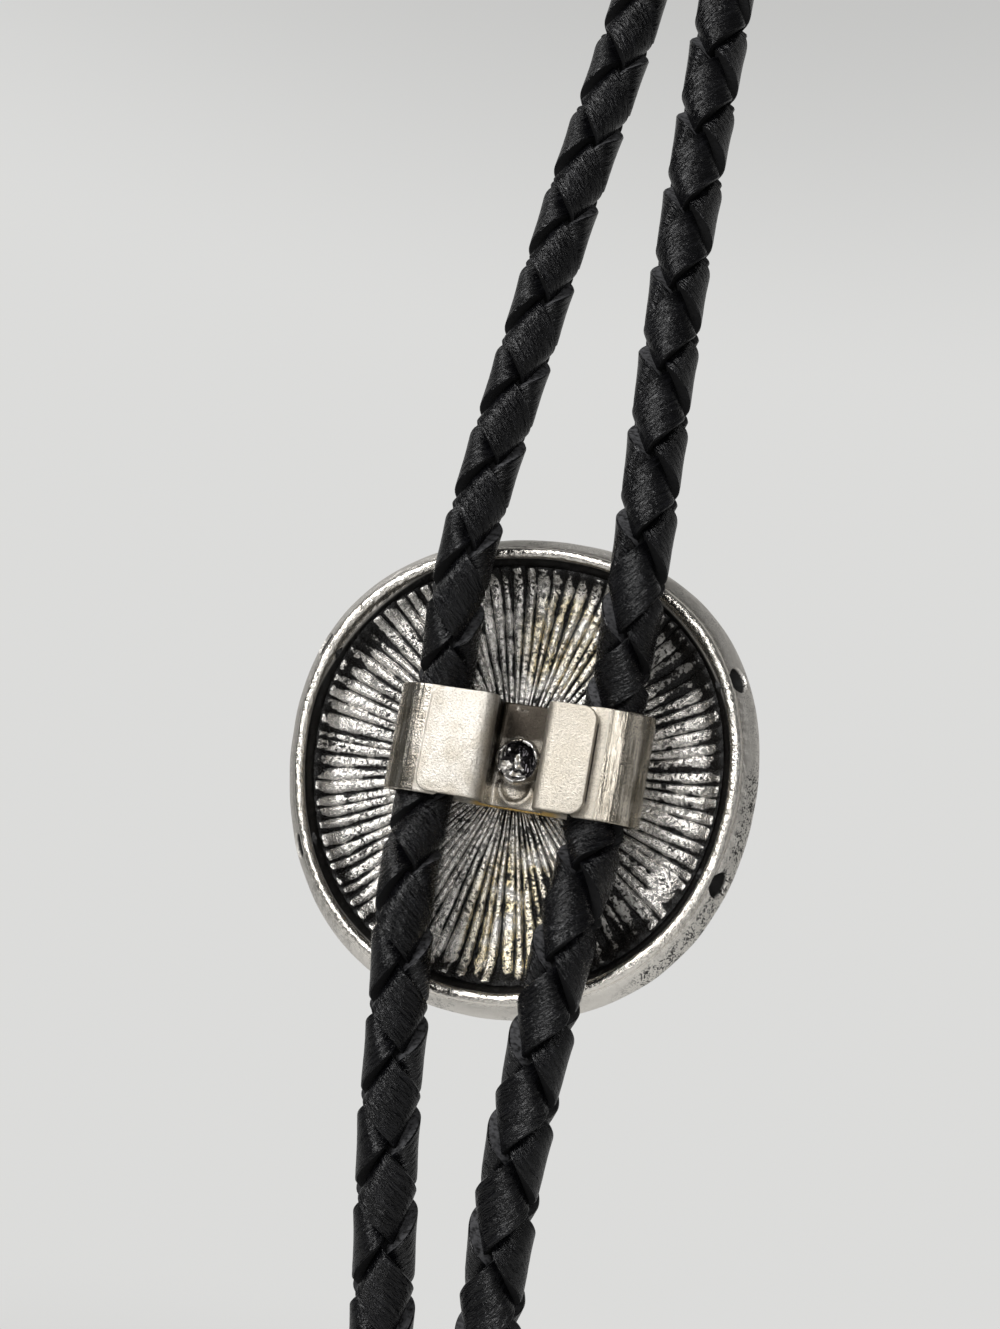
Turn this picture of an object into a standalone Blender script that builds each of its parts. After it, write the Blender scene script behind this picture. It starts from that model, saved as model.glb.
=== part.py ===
"""Bolo tie: a braided leather cord held by a round cast slide, seen hanging from the nape.

Metres, +Z up.  The front of the slide faces -Y and its open back faces +Y.
The origin is the inner side of the neck loop at its highest point, where it hangs.
Left is +X, the wearer's left, which is also the left side in a view from behind.
"""
import math

import bmesh
import bpy
import numpy as np
from mathutils import Vector

MM = 0.001
# Running gap between neighbouring pieces
GAP = 0.2 * MM
# Length that a cutter runs out past the metal, which leaves the part as it is
CUTTER_RUN_OUT = 1.2 * MM

# Cord
CORD_DIAMETER = 5.5 * MM
CORD_SQUEEZED = 4.0 * MM
CORD_SPACING = 16.1 * MM
CORD_SIDES = 10
CORD_JOINT_GAP = 0.3 * MM

# Slide, placed by the centre of the concho's back rim
NAPE_RISE = 372.0 * MM
CORD_LIFT = 3.4 * MM
SLIDE_X = 4.6 * MM
SLIDE = Vector((SLIDE_X, -CORD_LIFT, CORD_DIAMETER / 2 - NAPE_RISE))

# Concho: radii from its axis, depths from the crest of the back rim
CONCHO_RADIUS = 22.5 * MM
CONCHO_WIDEST_DEPTH = 2.9 * MM
CONCHO_EDGE_DEPTH = 4.7 * MM
CONCHO_DOME_RISE = 1.5 * MM
FRONT_BORDER = 2.2 * MM
FRONT_STEP = 0.35 * MM
LIP_RADIUS = 20.6 * MM
LIP_BEAD = 0.5 * MM
FLOOR_RADIUS = 19.2 * MM
FLOOR_DEPTH = 2.1 * MM
SEAT_RADIUS = 4.4 * MM
SEAT_DEPTH = 3.2 * MM
# The floor is nearly flat under the clip and rises faster towards the wall
FLOOR_CURVE = 3.0
RIB_COUNT = 90
RIB_DEPTH = 0.4 * MM
# The grooves grow deeper outwards: this share of their depth, and the radius as a share
GROOVE_START = 0.25
# The hand-raised rim is a little out of round, by a three-lobed and a four-lobed wave
THREE_LOBES = 0.31 * MM
THREE_LOBES_BEARING = math.radians(27.5)
FOUR_LOBES = 0.32 * MM
FOUR_LOBES_BEARING = math.radians(40.4)

# Oval holes drilled through the side wall, by their bearing from +X towards +Z
HOLE_BEARINGS = [math.radians(angle) for angle in (24, 151, 200, 331)]
HOLE_LENGTH = 2.3 * MM
HOLE_HEIGHT = 1.2 * MM
HOLE_DEPTH = 1.35 * MM

# Clip of two sheet strips, riveted through both into the concho's seat
SHEET = 0.6 * MM
CLIP_X = -0.85 * MM
CLIP_Z = 1.1 * MM
BACK_STRIP_HEIGHT = 9.9 * MM
FLAP_STRIP_HEIGHT = 9.6 * MM
CURL_HALF_WIDTH = 3.6 * MM
CURL_HALF_DEPTH = 2.45 * MM
CURL_END_ANGLE = math.radians(122)
TROUGH_HALF_WIDTH = 2.35 * MM
TROUGH_LEAN = 0.35 * MM
PAD_BEND = 0.8 * MM
FLAP_BEND = 0.9 * MM
LEFT_FLAP_REACH = 8.0 * MM
RIGHT_FLAP_REACH = 7.4 * MM
FLAP_CORNER = 1.3 * MM
CURL_CORNER = 0.5 * MM

# Tubular rivet
RIVET_Z = 0.55 * MM
RIVET_HEAD_RADIUS = 2.05 * MM
RIVET_HEAD_HEIGHT = 0.9 * MM
RIVET_CRATER_RADIUS = 1.35 * MM
RIVET_CRATER_DEPTH = 0.6 * MM
RIVET_SHANK_RADIUS = 1.1 * MM
RIVET_SHANK_IN_SEAT = 1.0 * MM

# Cord tips
TIP_LENGTH = 28.0 * MM
TIP_MOUTH_RADIUS = 3.6 * MM
TIP_END_RADIUS = 1.7 * MM
TIP_SOCKET_DEPTH = 9.0 * MM

# Heights above the rim's crest, worked out from the stack on the seat
BACK_STRIP_Y = -SEAT_DEPTH + GAP + SHEET / 2
PAD_Y = BACK_STRIP_Y + SHEET + GAP
CLIP_CORD_Y = BACK_STRIP_Y + CURL_HALF_DEPTH
FLAP_Y = CLIP_CORD_Y + CURL_HALF_DEPTH + SHEET + GAP

# Routes of the cords in millimetres from the centre of the back rim: x, y, z
NECK_ROUTE = [
    (7.20, -0.25, 1.25),
    (7.20, -0.25, 5.8),
    (7.10, 0.20, 8.5),
    (6.88, 1.40, 11.6),
    (6.55, 2.75, 14.8),
    (6.25, 3.35, 18.0),
    (5.60, 3.40, 26.0),
    (4.55, 3.40, 35.0),
    (2.35, 3.40, 54.0),
    (-0.60, 3.40, 75.5),
    (-1.10, 3.40, 94.0),
    (4.60, 3.40, 128.0),
    (17.0, 3.40, 168.0),
    (33.5, 3.40, 212.0),
    (47.5, 3.40, 258.0),
    (53.4, 3.40, 303.0),
    (43.5, 3.40, 344.0),
    (22.5, 3.40, 365.5),
    (-4.6, 3.40, 372.0),
    (-31.7, 3.40, 365.5),
    (-52.7, 3.40, 344.0),
    (-62.6, 3.40, 303.0),
    (-56.7, 3.40, 258.0),
    (-42.7, 3.40, 212.0),
    (-26.2, 3.40, 168.0),
    (-13.8, 3.40, 128.0),
    (-9.3, 3.40, 94.0),
    (-9.05, 3.40, 75.5),
    (-8.95, 3.40, 54.0),
    (-9.30, 3.40, 35.0),
    (-9.60, 3.40, 26.0),
    (-9.75, 3.35, 18.0),
    (-9.60, 2.75, 14.8),
    (-9.35, 1.40, 11.6),
    (-9.05, 0.20, 8.5),
    (-8.90, -0.25, 5.8),
    (-8.90, -0.25, 1.25),
]
LEFT_TAIL_ROUTE = [
    (7.20, -0.25, 0.95),
    (7.20, -0.25, -3.6),
    (7.05, 0.20, -6.3),
    (6.70, 1.40, -9.4),
    (6.15, 2.75, -12.8),
    (5.60, 3.35, -16.2),
    (4.75, 3.40, -22.0),
    (3.90, 3.40, -30.0),
    (2.65, 3.40, -38.0),
    (1.50, 3.40, -44.8),
    (0.86, 3.40, -49.5),
    (0.62, 3.40, -53.5),
    (0.60, 3.40, -60.0),
]
RIGHT_TAIL_ROUTE = [
    (-8.90, -0.25, 0.95),
    (-8.90, -0.25, -3.6),
    (-8.90, 0.20, -6.3),
    (-8.86, 1.40, -9.4),
    (-8.70, 2.75, -12.8),
    (-8.50, 3.35, -16.2),
    (-8.10, 3.40, -22.0),
    (-7.65, 3.40, -30.0),
    (-7.50, 3.40, -38.0),
    (-7.78, 3.40, -44.8),
    (-8.08, 3.40, -49.5),
    (-8.25, 3.40, -53.5),
    (-8.27, 3.40, -60.0),
]
# Length along a cord, from its end in the clip, that is squeezed, and that swells again
SQUEEZED_LENGTH = 5.4 * MM
SWELL_LENGTH = 4.0 * MM
# Spacing of a cord's points where it bends over the rim, and elsewhere
FINE_SPACING = 2.7 * MM
FINE_LENGTH = 27.0 * MM
COARSE_SPACING = 13.0 * MM


def clear_scene():
    """Remove every object of the start scene."""
    for thing in list(bpy.data.objects):
        bpy.data.objects.remove(thing, do_unlink=True)


def collection(name):
    """Return a new collection in the scene."""
    new = bpy.data.collections.new(name)
    bpy.context.scene.collection.children.link(new)
    return new


def material(name, colour, metallic, roughness):
    """Return a Principled material."""
    new = bpy.data.materials.new(name)
    new.use_nodes = True
    shader = new.node_tree.nodes["Principled BSDF"]
    shader.inputs["Base Color"].default_value = (*colour, 1.0)
    shader.inputs["Metallic"].default_value = metallic
    shader.inputs["Roughness"].default_value = roughness
    return new


def mesh_object(name, vertices, faces, finish, home, edges=()):
    """Make a named object from vertices, edges and faces."""
    mesh = bpy.data.meshes.new(name)
    mesh.from_pydata([tuple(v) for v in vertices], list(edges), faces)
    thing = bpy.data.objects.new(name, mesh)
    home.objects.link(thing)
    if finish is not None:
        mesh.materials.append(finish)
    return thing


def turned(name, profile, finish, home, steps):
    """Turn a profile of (radius, height) points, from top to bottom of the outside, about Z."""
    vertices = [(radius, 0.0, height) for radius, height in profile]
    edges = [(i, i + 1) for i in range(len(vertices) - 1)]
    thing = mesh_object(name, vertices, [], finish, home, edges)
    screw = thing.modifiers.new("turn", "SCREW")
    screw.axis = "Z"
    screw.steps = steps
    screw.render_steps = steps
    screw.use_merge_vertices = True
    screw.merge_threshold = 0.00001
    return thing


def baked(thing):
    """Replace an object's mesh by its evaluated one and drop its modifiers."""
    graph = bpy.context.evaluated_depsgraph_get()
    mesh = bpy.data.meshes.new_from_object(thing.evaluated_get(graph))
    thing.modifiers.clear()
    thing.data = mesh
    return thing


def smooth(thing, angle):
    """Shade an object smooth, apart from edges sharper than the angle in degrees."""
    thing.data.shade_smooth()
    thing.data.set_sharp_from_angle(angle=math.radians(angle))


def hide_cutter(cutter):
    """Keep a cutter out of renders."""
    cutter.hide_render = True
    cutter.display_type = "WIRE"


def cut(thing, cutter):
    """Take the cutter's shape out of the object with a live Boolean."""
    boolean = thing.modifiers.new("cut " + cutter.name, "BOOLEAN")
    boolean.operation = "DIFFERENCE"
    boolean.solver = "EXACT"
    boolean.object = cutter


def lobes(bearing):
    """Return how far the rim stands out of round at a bearing from +X towards +Z."""
    three = THREE_LOBES * math.cos(3 * (bearing - THREE_LOBES_BEARING))
    four = FOUR_LOBES * math.cos(4 * (bearing - FOUR_LOBES_BEARING))
    return three + four


def concho_profile():
    """Return the casting's profile as (radius, height above the rim's crest) points."""
    dish = FLOOR_DEPTH - SEAT_DEPTH
    seat = [(0.0, -SEAT_DEPTH), (SEAT_RADIUS, -SEAT_DEPTH)]
    floor = []
    for share in (0.12, 0.45, 0.75, 1.0):
        radius = SEAT_RADIUS + share * (FLOOR_RADIUS - SEAT_RADIUS)
        floor.append((radius, -SEAT_DEPTH - share ** FLOOR_CURVE * dish))
    wall_top = LIP_RADIUS - LIP_BEAD
    inner_wall = [(FLOOR_RADIUS + 0.3 * (wall_top - FLOOR_RADIUS), -0.75 * FLOOR_DEPTH)]
    bead = []
    for angle in (165, 110, 55, 5):
        turn = math.radians(angle)
        bead.append((LIP_RADIUS + LIP_BEAD * math.cos(turn), LIP_BEAD * (math.sin(turn) - 1)))
    lip_outside = LIP_RADIUS + LIP_BEAD
    flare = CONCHO_RADIUS - lip_outside
    fall = CONCHO_WIDEST_DEPTH - LIP_BEAD
    side = [
        (lip_outside + 0.04 * flare, -LIP_BEAD - 0.12 * fall),
        (lip_outside + 0.62 * flare, -LIP_BEAD - 0.42 * fall),
        (CONCHO_RADIUS, -CONCHO_WIDEST_DEPTH),
    ]
    turn_in = CONCHO_EDGE_DEPTH - CONCHO_WIDEST_DEPTH
    side.append((CONCHO_RADIUS - 0.25 * turn_in, -CONCHO_WIDEST_DEPTH - 0.65 * turn_in))
    side.append((CONCHO_RADIUS - 0.8 * turn_in, -CONCHO_EDGE_DEPTH))
    field = CONCHO_RADIUS - 0.8 * turn_in - FRONT_BORDER
    front = [(field, -CONCHO_EDGE_DEPTH), (field - FRONT_STEP, -CONCHO_EDGE_DEPTH + FRONT_STEP)]
    for share in (0.6, 0.0):
        height = -CONCHO_EDGE_DEPTH - CONCHO_DOME_RISE * (1 - share ** 2)
        front.append((field * share, height))
    return seat + floor + inner_wall + bead + side + front


def raise_ribs(mesh):
    """Cut sunburst grooves between ribs in the recessed floor, and bring the rim out of round."""
    step = math.pi / RIB_COUNT
    for vertex in mesh.vertices:
        x, y, z = vertex.co
        radius = math.hypot(x, y)
        if radius < SEAT_RADIUS / 2:
            continue
        # The mesh is turned about Z, whose Y becomes the part's -Z
        bearing = math.atan2(-y, x)
        groove = round(bearing / step) % 2 == 1
        on_floor = SEAT_RADIUS * 1.01 < radius < FLOOR_RADIUS * 1.001 and z > -SEAT_DEPTH * 1.01
        if on_floor and groove:
            vertex.co.z -= RIB_DEPTH * min(1.0, radius / FLOOR_RADIUS + GROOVE_START)
        weight = min(1.0, max(0.0, (radius / FLOOR_RADIUS - 0.5) * 2))
        scale = 1 + weight * lobes(bearing) / CONCHO_RADIUS
        vertex.co.x = x * scale
        vertex.co.y = y * scale


def make_concho(finish, home, cutters):
    """Make the cast concho with its ribbed back, raised rim and side holes."""
    concho = turned("concho", concho_profile(), finish, home, 2 * RIB_COUNT)
    baked(concho)
    raise_ribs(concho.data)
    concho.location = SLIDE
    concho.rotation_euler = (-math.pi / 2, 0, 0)
    smooth(concho, 32)
    for number, bearing in enumerate(HOLE_BEARINGS):
        cut(concho, side_hole(number, bearing, cutters))
    cut(concho, rivet_hole("seat_hole", SEAT_DEPTH + RIVET_SHANK_IN_SEAT + GAP, cutters))
    return concho


def side_hole(number, bearing, home):
    """Return an oval cutter that runs radially through the side wall."""
    length = 2 * (CONCHO_RADIUS - FLOOR_RADIUS + CUTTER_RUN_OUT)
    bpy.ops.mesh.primitive_cylinder_add(vertices=14, radius=0.5, depth=1.0)
    cutter = bpy.context.object
    cutter.name = "side_hole_" + str(number + 1)
    for vertex in cutter.data.vertices:
        along, across, high = vertex.co.z * length, vertex.co.x * HOLE_LENGTH, vertex.co.y * HOLE_HEIGHT
        vertex.co = (along, high, across)
    centre = (FLOOR_RADIUS + CONCHO_RADIUS) / 2
    out = Vector((math.cos(bearing), 0, math.sin(bearing)))
    cutter.location = SLIDE + out * centre + Vector((0, -HOLE_DEPTH, 0))
    cutter.rotation_euler = (0, -bearing, 0)
    recalculate_normals(cutter.data)
    move_to(cutter, home)
    hide_cutter(cutter)
    return cutter


def rivet_hole(name, depth, home):
    """Return a round cutter for the rivet's shank, down to a depth below the rim's crest."""
    height = depth + CUTTER_RUN_OUT
    bpy.ops.mesh.primitive_cylinder_add(vertices=24, radius=RIVET_SHANK_RADIUS + GAP, depth=height)
    cutter = bpy.context.object
    cutter.name = name
    cutter.rotation_euler = (math.pi / 2, 0, 0)
    cutter.location = SLIDE + Vector((CLIP_X, height / 2 - depth, RIVET_Z))
    move_to(cutter, home)
    hide_cutter(cutter)
    return cutter


def recalculate_normals(mesh):
    """Turn all faces of a closed mesh outwards."""
    work = bmesh.new()
    work.from_mesh(mesh)
    bmesh.ops.recalc_face_normals(work, faces=work.faces)
    work.to_mesh(mesh)
    work.free()


def move_to(thing, home):
    """Move an object out of its collections into one of ours."""
    for old in list(thing.users_collection):
        old.objects.unlink(thing)
    home.objects.link(thing)


def arc(centre, radii, start, end, count):
    """Return points on an elliptical arc, angles in radians."""
    points = []
    for i in range(count + 1):
        angle = start + (end - start) * i / count
        points.append((centre[0] + radii[0] * math.cos(angle), centre[1] + radii[1] * math.sin(angle)))
    return points


def rounded_end(path, corner):
    """Add points near both ends of a path, where rounded corners need them."""
    def near_end(points):
        last = Vector(points[-1])
        before = Vector(points[-2])
        back = (before - last).normalized()
        added = [last + back * corner * share for share in (1.0, 0.62, 0.3, 0.08)]
        return points[:-1] + [tuple(p) for p in added] + [points[-1]]
    path = near_end(path)
    return near_end(path[::-1])[::-1]


def sheet_strip(name, path, height, corner, finish, home):
    """Make a strip of sheet metal: a cross-section path in X and Y, and its height along Z."""
    path = rounded_end(path, corner)
    places = [Vector(p) for p in path]
    run = [0.0]
    for a, b in zip(places, places[1:]):
        run.append(run[-1] + (b - a).length)
    vertices = []
    for place, along in zip(places, run):
        inset = corner - min(along, run[-1] - along, corner)
        half = height / 2 - corner + math.sqrt(corner ** 2 - inset ** 2)
        vertices.append((place.x, place.y, -half))
        vertices.append((place.x, place.y, half))
    faces = [(2 * i, 2 * i + 2, 2 * i + 3, 2 * i + 1) for i in range(len(places) - 1)]
    strip = mesh_object(name, vertices, faces, finish, home)
    strip.location = SLIDE + Vector((CLIP_X, 0, CLIP_Z))
    wall = strip.modifiers.new("thickness", "SOLIDIFY")
    wall.thickness = SHEET
    wall.offset = 0
    wall.use_even_offset = True
    smooth(strip, 40)
    return strip


def make_back_strip(finish, home):
    """Make the strip on the seat, whose ends curl up round the outsides of the cords."""
    half = CORD_SPACING / 2
    radii = (CURL_HALF_WIDTH, CURL_HALF_DEPTH)
    left = arc((half, CLIP_CORD_Y), radii, CURL_END_ANGLE, -math.pi / 2, 18)
    right = [(-x, y) for x, y in left[::-1]]
    strip = sheet_strip("clip_back_strip", left + right, BACK_STRIP_HEIGHT, CURL_CORNER, finish, home)
    cut(strip, bpy.data.objects["strip_hole"])
    return strip


def make_flap_strip(finish, home):
    """Make the strip on top: a pad under the rivet, two walls and two flaps over the cords."""
    wall_x = TROUGH_HALF_WIDTH + SHEET / 2

    def side(reach, lean):
        pad_centre = (wall_x - PAD_BEND, PAD_Y + PAD_BEND)
        flap_centre = (wall_x + lean + FLAP_BEND, FLAP_Y - FLAP_BEND)
        pad_bend = arc(pad_centre, (PAD_BEND, PAD_BEND), -math.pi / 2, 0, 5)
        flap_bend = arc(flap_centre, (FLAP_BEND, FLAP_BEND), math.pi, math.pi / 2, 6)
        return pad_bend + flap_bend + [(reach, FLAP_Y)]

    # Both walls lean the same way, so the mouth lies a little to the right of the pad
    left = side(LEFT_FLAP_REACH, -TROUGH_LEAN)[::-1]
    right = [(-x, y) for x, y in side(RIGHT_FLAP_REACH, TROUGH_LEAN)]
    strip = sheet_strip("clip_flaps", left + right, FLAP_STRIP_HEIGHT, FLAP_CORNER, finish, home)
    cut(strip, bpy.data.objects["strip_hole"])
    return strip


def make_rivet(finish, home):
    """Make the tubular rivet, its head belled out into a crater over the pad."""
    under_head = PAD_Y + SHEET / 2 + GAP
    top = under_head + RIVET_HEAD_HEIGHT
    foot = -SEAT_DEPTH - RIVET_SHANK_IN_SEAT
    profile = [
        (0.0, top - RIVET_CRATER_DEPTH),
        (RIVET_CRATER_RADIUS * 0.6, top - RIVET_CRATER_DEPTH * 0.92),
        (RIVET_CRATER_RADIUS, top - RIVET_CRATER_DEPTH * 0.35),
        (RIVET_CRATER_RADIUS + 0.25 * (RIVET_HEAD_RADIUS - RIVET_CRATER_RADIUS), top),
        (RIVET_CRATER_RADIUS + 0.7 * (RIVET_HEAD_RADIUS - RIVET_CRATER_RADIUS), top),
        (RIVET_HEAD_RADIUS, top - 0.35 * RIVET_HEAD_HEIGHT),
        (RIVET_HEAD_RADIUS, under_head),
        (RIVET_SHANK_RADIUS, under_head),
        (RIVET_SHANK_RADIUS, foot),
        (0.0, foot),
    ]
    rivet = turned("rivet", profile, finish, home, 24)
    rivet.location = SLIDE + Vector((CLIP_X, 0, RIVET_Z))
    rivet.rotation_euler = (-math.pi / 2, 0, 0)
    smooth(rivet, 40)
    return rivet


def spline_through(route):
    """Return a function of arc length along a natural cubic spline, and its whole length."""
    points = np.array(route) * MM
    knots = np.concatenate([[0.0], np.cumsum(np.linalg.norm(np.diff(points, axis=0), axis=1))])
    gaps = np.diff(knots)
    count = len(points)
    system = np.eye(count)
    right = np.zeros((count, 3))
    for i in range(1, count - 1):
        system[i, i - 1:i + 2] = gaps[i - 1], 2 * (gaps[i - 1] + gaps[i]), gaps[i]
        right[i] = 6 * ((points[i + 1] - points[i]) / gaps[i] - (points[i] - points[i - 1]) / gaps[i - 1])
    bend = np.linalg.solve(system, right)

    def place(at):
        i = min(max(int(np.searchsorted(knots, at)) - 1, 0), count - 2)
        before, after = at - knots[i], knots[i + 1] - at
        cubic = (bend[i] * after ** 3 + bend[i + 1] * before ** 3) / (6 * gaps[i])
        start = (points[i] / gaps[i] - bend[i] * gaps[i] / 6) * after
        end = (points[i + 1] / gaps[i] - bend[i + 1] * gaps[i] / 6) * before
        return cubic + start + end

    return place, knots[-1]


def stations(length, clip_at_both_ends):
    """Return the lengths along a cord where it has points, closer together near the clip."""
    if not clip_at_both_ends:
        return list(np.linspace(0, length, round(length / FINE_SPACING) + 1))
    near = [FINE_SPACING * i for i in range(round(FINE_LENGTH / FINE_SPACING) + 1)]
    count = round((length - 2 * near[-1]) / COARSE_SPACING)
    middle = list(np.linspace(near[-1], length - near[-1], count + 1)[1:])
    return near + middle + [length - at for at in near[-2::-1]]


def make_cord(name, route, clip_at_both_ends, finish, home):
    """Make a round cord along a route, squeezed where the clip holds it."""
    place, length = spline_through(route)
    curve = bpy.data.curves.new(name, "CURVE")
    curve.dimensions = "3D"
    curve.bevel_depth = CORD_DIAMETER / 2
    # A bevel has four sides and two more for each step of its resolution
    curve.bevel_resolution = (CORD_SIDES - 4) // 2
    curve.use_fill_caps = True
    curve.materials.append(finish)
    marks = stations(length, clip_at_both_ends)
    spline = curve.splines.new("POLY")
    spline.points.add(len(marks) - 1)
    narrow = CORD_SQUEEZED / CORD_DIAMETER
    for point, at in zip(spline.points, marks):
        spot = SLIDE + Vector(place(at))
        point.co = (*spot, 1.0)
        from_clip = min(at, length - at) if clip_at_both_ends else at
        swell = min(1.0, max(0.0, (from_clip - SQUEEZED_LENGTH) / SWELL_LENGTH))
        point.radius = narrow + (1 - narrow) * swell
    thing = bpy.data.objects.new(name, curve)
    home.objects.link(thing)
    return thing


def make_tip(name, route, finish, home):
    """Make a plain metal tip, turned in one piece, over the end of a tail."""
    socket = CORD_DIAMETER / 2 + GAP
    body = TIP_MOUTH_RADIUS - 0.25 * MM
    profile = [
        (0.0, -TIP_SOCKET_DEPTH),
        (socket, -TIP_SOCKET_DEPTH),
        (socket, 0.0),
        (TIP_MOUTH_RADIUS - 0.15 * MM, 0.0),
        (TIP_MOUTH_RADIUS, -0.15 * MM),
        (TIP_MOUTH_RADIUS, -0.06 * TIP_LENGTH),
        (body, -0.08 * TIP_LENGTH),
        (body, -0.36 * TIP_LENGTH),
        (TIP_END_RADIUS + 0.55 * (body - TIP_END_RADIUS), -0.68 * TIP_LENGTH),
        (TIP_END_RADIUS, -TIP_LENGTH + 0.9 * TIP_END_RADIUS),
        (0.72 * TIP_END_RADIUS, -TIP_LENGTH + 0.28 * TIP_END_RADIUS),
        (0.0, -TIP_LENGTH),
    ]
    tip = turned(name, profile, finish, home, 24)
    end = Vector(route[-1]) * MM
    tip.location = SLIDE + end + Vector((0, 0, TIP_SOCKET_DEPTH - CORD_JOINT_GAP))
    smooth(tip, 40)
    return tip


def main():
    """Build the whole bolo tie."""
    clear_scene()
    home = collection("bolo_tie")
    cutters = collection("cutters")
    leather = material("black_braided_leather", (0.012, 0.012, 0.013), 0.0, 0.5)
    cast = material("antiqued_silver_casting", (0.62, 0.60, 0.56), 1.0, 0.3)
    sheet = material("satin_nickel_sheet", (0.66, 0.64, 0.59), 1.0, 0.38)
    dark_rivet = material("dark_plated_rivet", (0.18, 0.17, 0.17), 1.0, 0.2)
    polished = material("polished_tip_metal", (0.65, 0.63, 0.6), 1.0, 0.22)

    rivet_hole("strip_hole", SEAT_DEPTH, cutters)
    make_concho(cast, home, cutters)
    make_back_strip(sheet, home)
    make_flap_strip(sheet, home)
    make_rivet(dark_rivet, home)
    make_cord("neck_cord", NECK_ROUTE, True, leather, home)
    make_cord("left_tail_cord", LEFT_TAIL_ROUTE, False, leather, home)
    make_cord("right_tail_cord", RIGHT_TAIL_ROUTE, False, leather, home)
    make_tip("left_tip", LEFT_TAIL_ROUTE, polished, home)
    make_tip("right_tip", RIGHT_TAIL_ROUTE, polished, home)


main()
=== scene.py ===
"""Looks of the bolo tie: braided leather, antiqued casting, satin clip, camera, floor and light.

Lengths are millimetres in the slide's own frame unless a name says otherwise: the origin is the
centre of the casting's back rim, X the wearer's left, Y out of the open back, Z up.
"""
import math

import bmesh
import bpy
import numpy as np
from mathutils import Matrix, Vector, noise


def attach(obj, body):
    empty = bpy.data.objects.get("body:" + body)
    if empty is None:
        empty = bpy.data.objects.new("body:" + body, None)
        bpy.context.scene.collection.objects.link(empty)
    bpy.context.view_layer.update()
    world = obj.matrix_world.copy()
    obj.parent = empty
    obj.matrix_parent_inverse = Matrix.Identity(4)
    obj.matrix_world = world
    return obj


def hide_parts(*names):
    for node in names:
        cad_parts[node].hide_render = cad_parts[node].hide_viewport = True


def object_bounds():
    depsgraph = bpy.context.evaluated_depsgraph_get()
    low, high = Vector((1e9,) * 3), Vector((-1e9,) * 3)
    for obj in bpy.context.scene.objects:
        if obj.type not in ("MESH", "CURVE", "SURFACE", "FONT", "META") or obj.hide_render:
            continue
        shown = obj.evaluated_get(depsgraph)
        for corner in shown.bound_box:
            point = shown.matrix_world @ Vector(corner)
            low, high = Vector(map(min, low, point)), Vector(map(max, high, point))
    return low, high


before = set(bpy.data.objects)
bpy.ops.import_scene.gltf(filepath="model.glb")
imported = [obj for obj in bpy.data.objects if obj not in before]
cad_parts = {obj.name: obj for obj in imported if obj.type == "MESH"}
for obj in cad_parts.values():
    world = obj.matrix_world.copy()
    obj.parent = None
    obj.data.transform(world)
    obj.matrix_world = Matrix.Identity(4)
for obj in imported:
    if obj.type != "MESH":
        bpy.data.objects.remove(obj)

CAD_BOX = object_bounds()
MM = 0.001
# Centre of the casting's back rim in the row's frame
SLIDE = np.array((4.6, -3.4, -369.25))

# Camera, fitted to the rim, side wall and floor of the slide
EYE = (-30.72, 113.12, -10.54)
LOOK = (0.27589, -0.94713, 0.16379)
ROLL = math.radians(-10.31)
FOCAL_PIXELS = 1300.0
PICTURE_HEIGHT = 1329.0
SENSOR = 36.0

# Braided cord
CORD_RADIUS = 2.75
LACE_WIDTH = 4.6
LACE_THICKNESS = 1.15
LACE_GAP = 0.03
EDGE_LIFT = 0.2
BEVEL = 0.05
DIVE = 2.1
CORE_RADIUS = 1.2
CLIP_DEPTH_SHARE = 0.75
CLIP_WIDTH_SHARE = 1.04
SQUEEZED_LENGTH = 5.4
SWELL_LENGTH = 4.0
JOINT_GAP = 0.3
# How far round the cord a lace lies over the next one, as a share of half a turn
OVER_SHARE = 0.56
# Rows of a lace at each crossing, over and under, near the clip and elsewhere
CLOSE_ROWS = (22, 6)
FAR_ROWS = (11, 4)
CLOSE_LENGTH = 86.0

# First and last crossing seen on each side of the neck cord, as heights, and the steps between
LEFT_CROSSINGS = (10.9, 66.9)
RIGHT_CROSSINGS = (67.9, 13.0)
SEEN_STEPS = 7
CROSSING_SPACING = 7.8
LEFT_NECK_TURN = math.radians(25)
RIGHT_NECK_TURN = math.radians(90)
# Tails: heights of the first and last crossing seen, first step, and the braid's turn
TAIL_STEPS = 4
LEFT_TAIL_BRAID = ((-11.5, -40.9), 0.5, math.radians(-25))
RIGHT_TAIL_BRAID = ((-9.0, -39.7), 0.0, math.radians(100))

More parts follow.
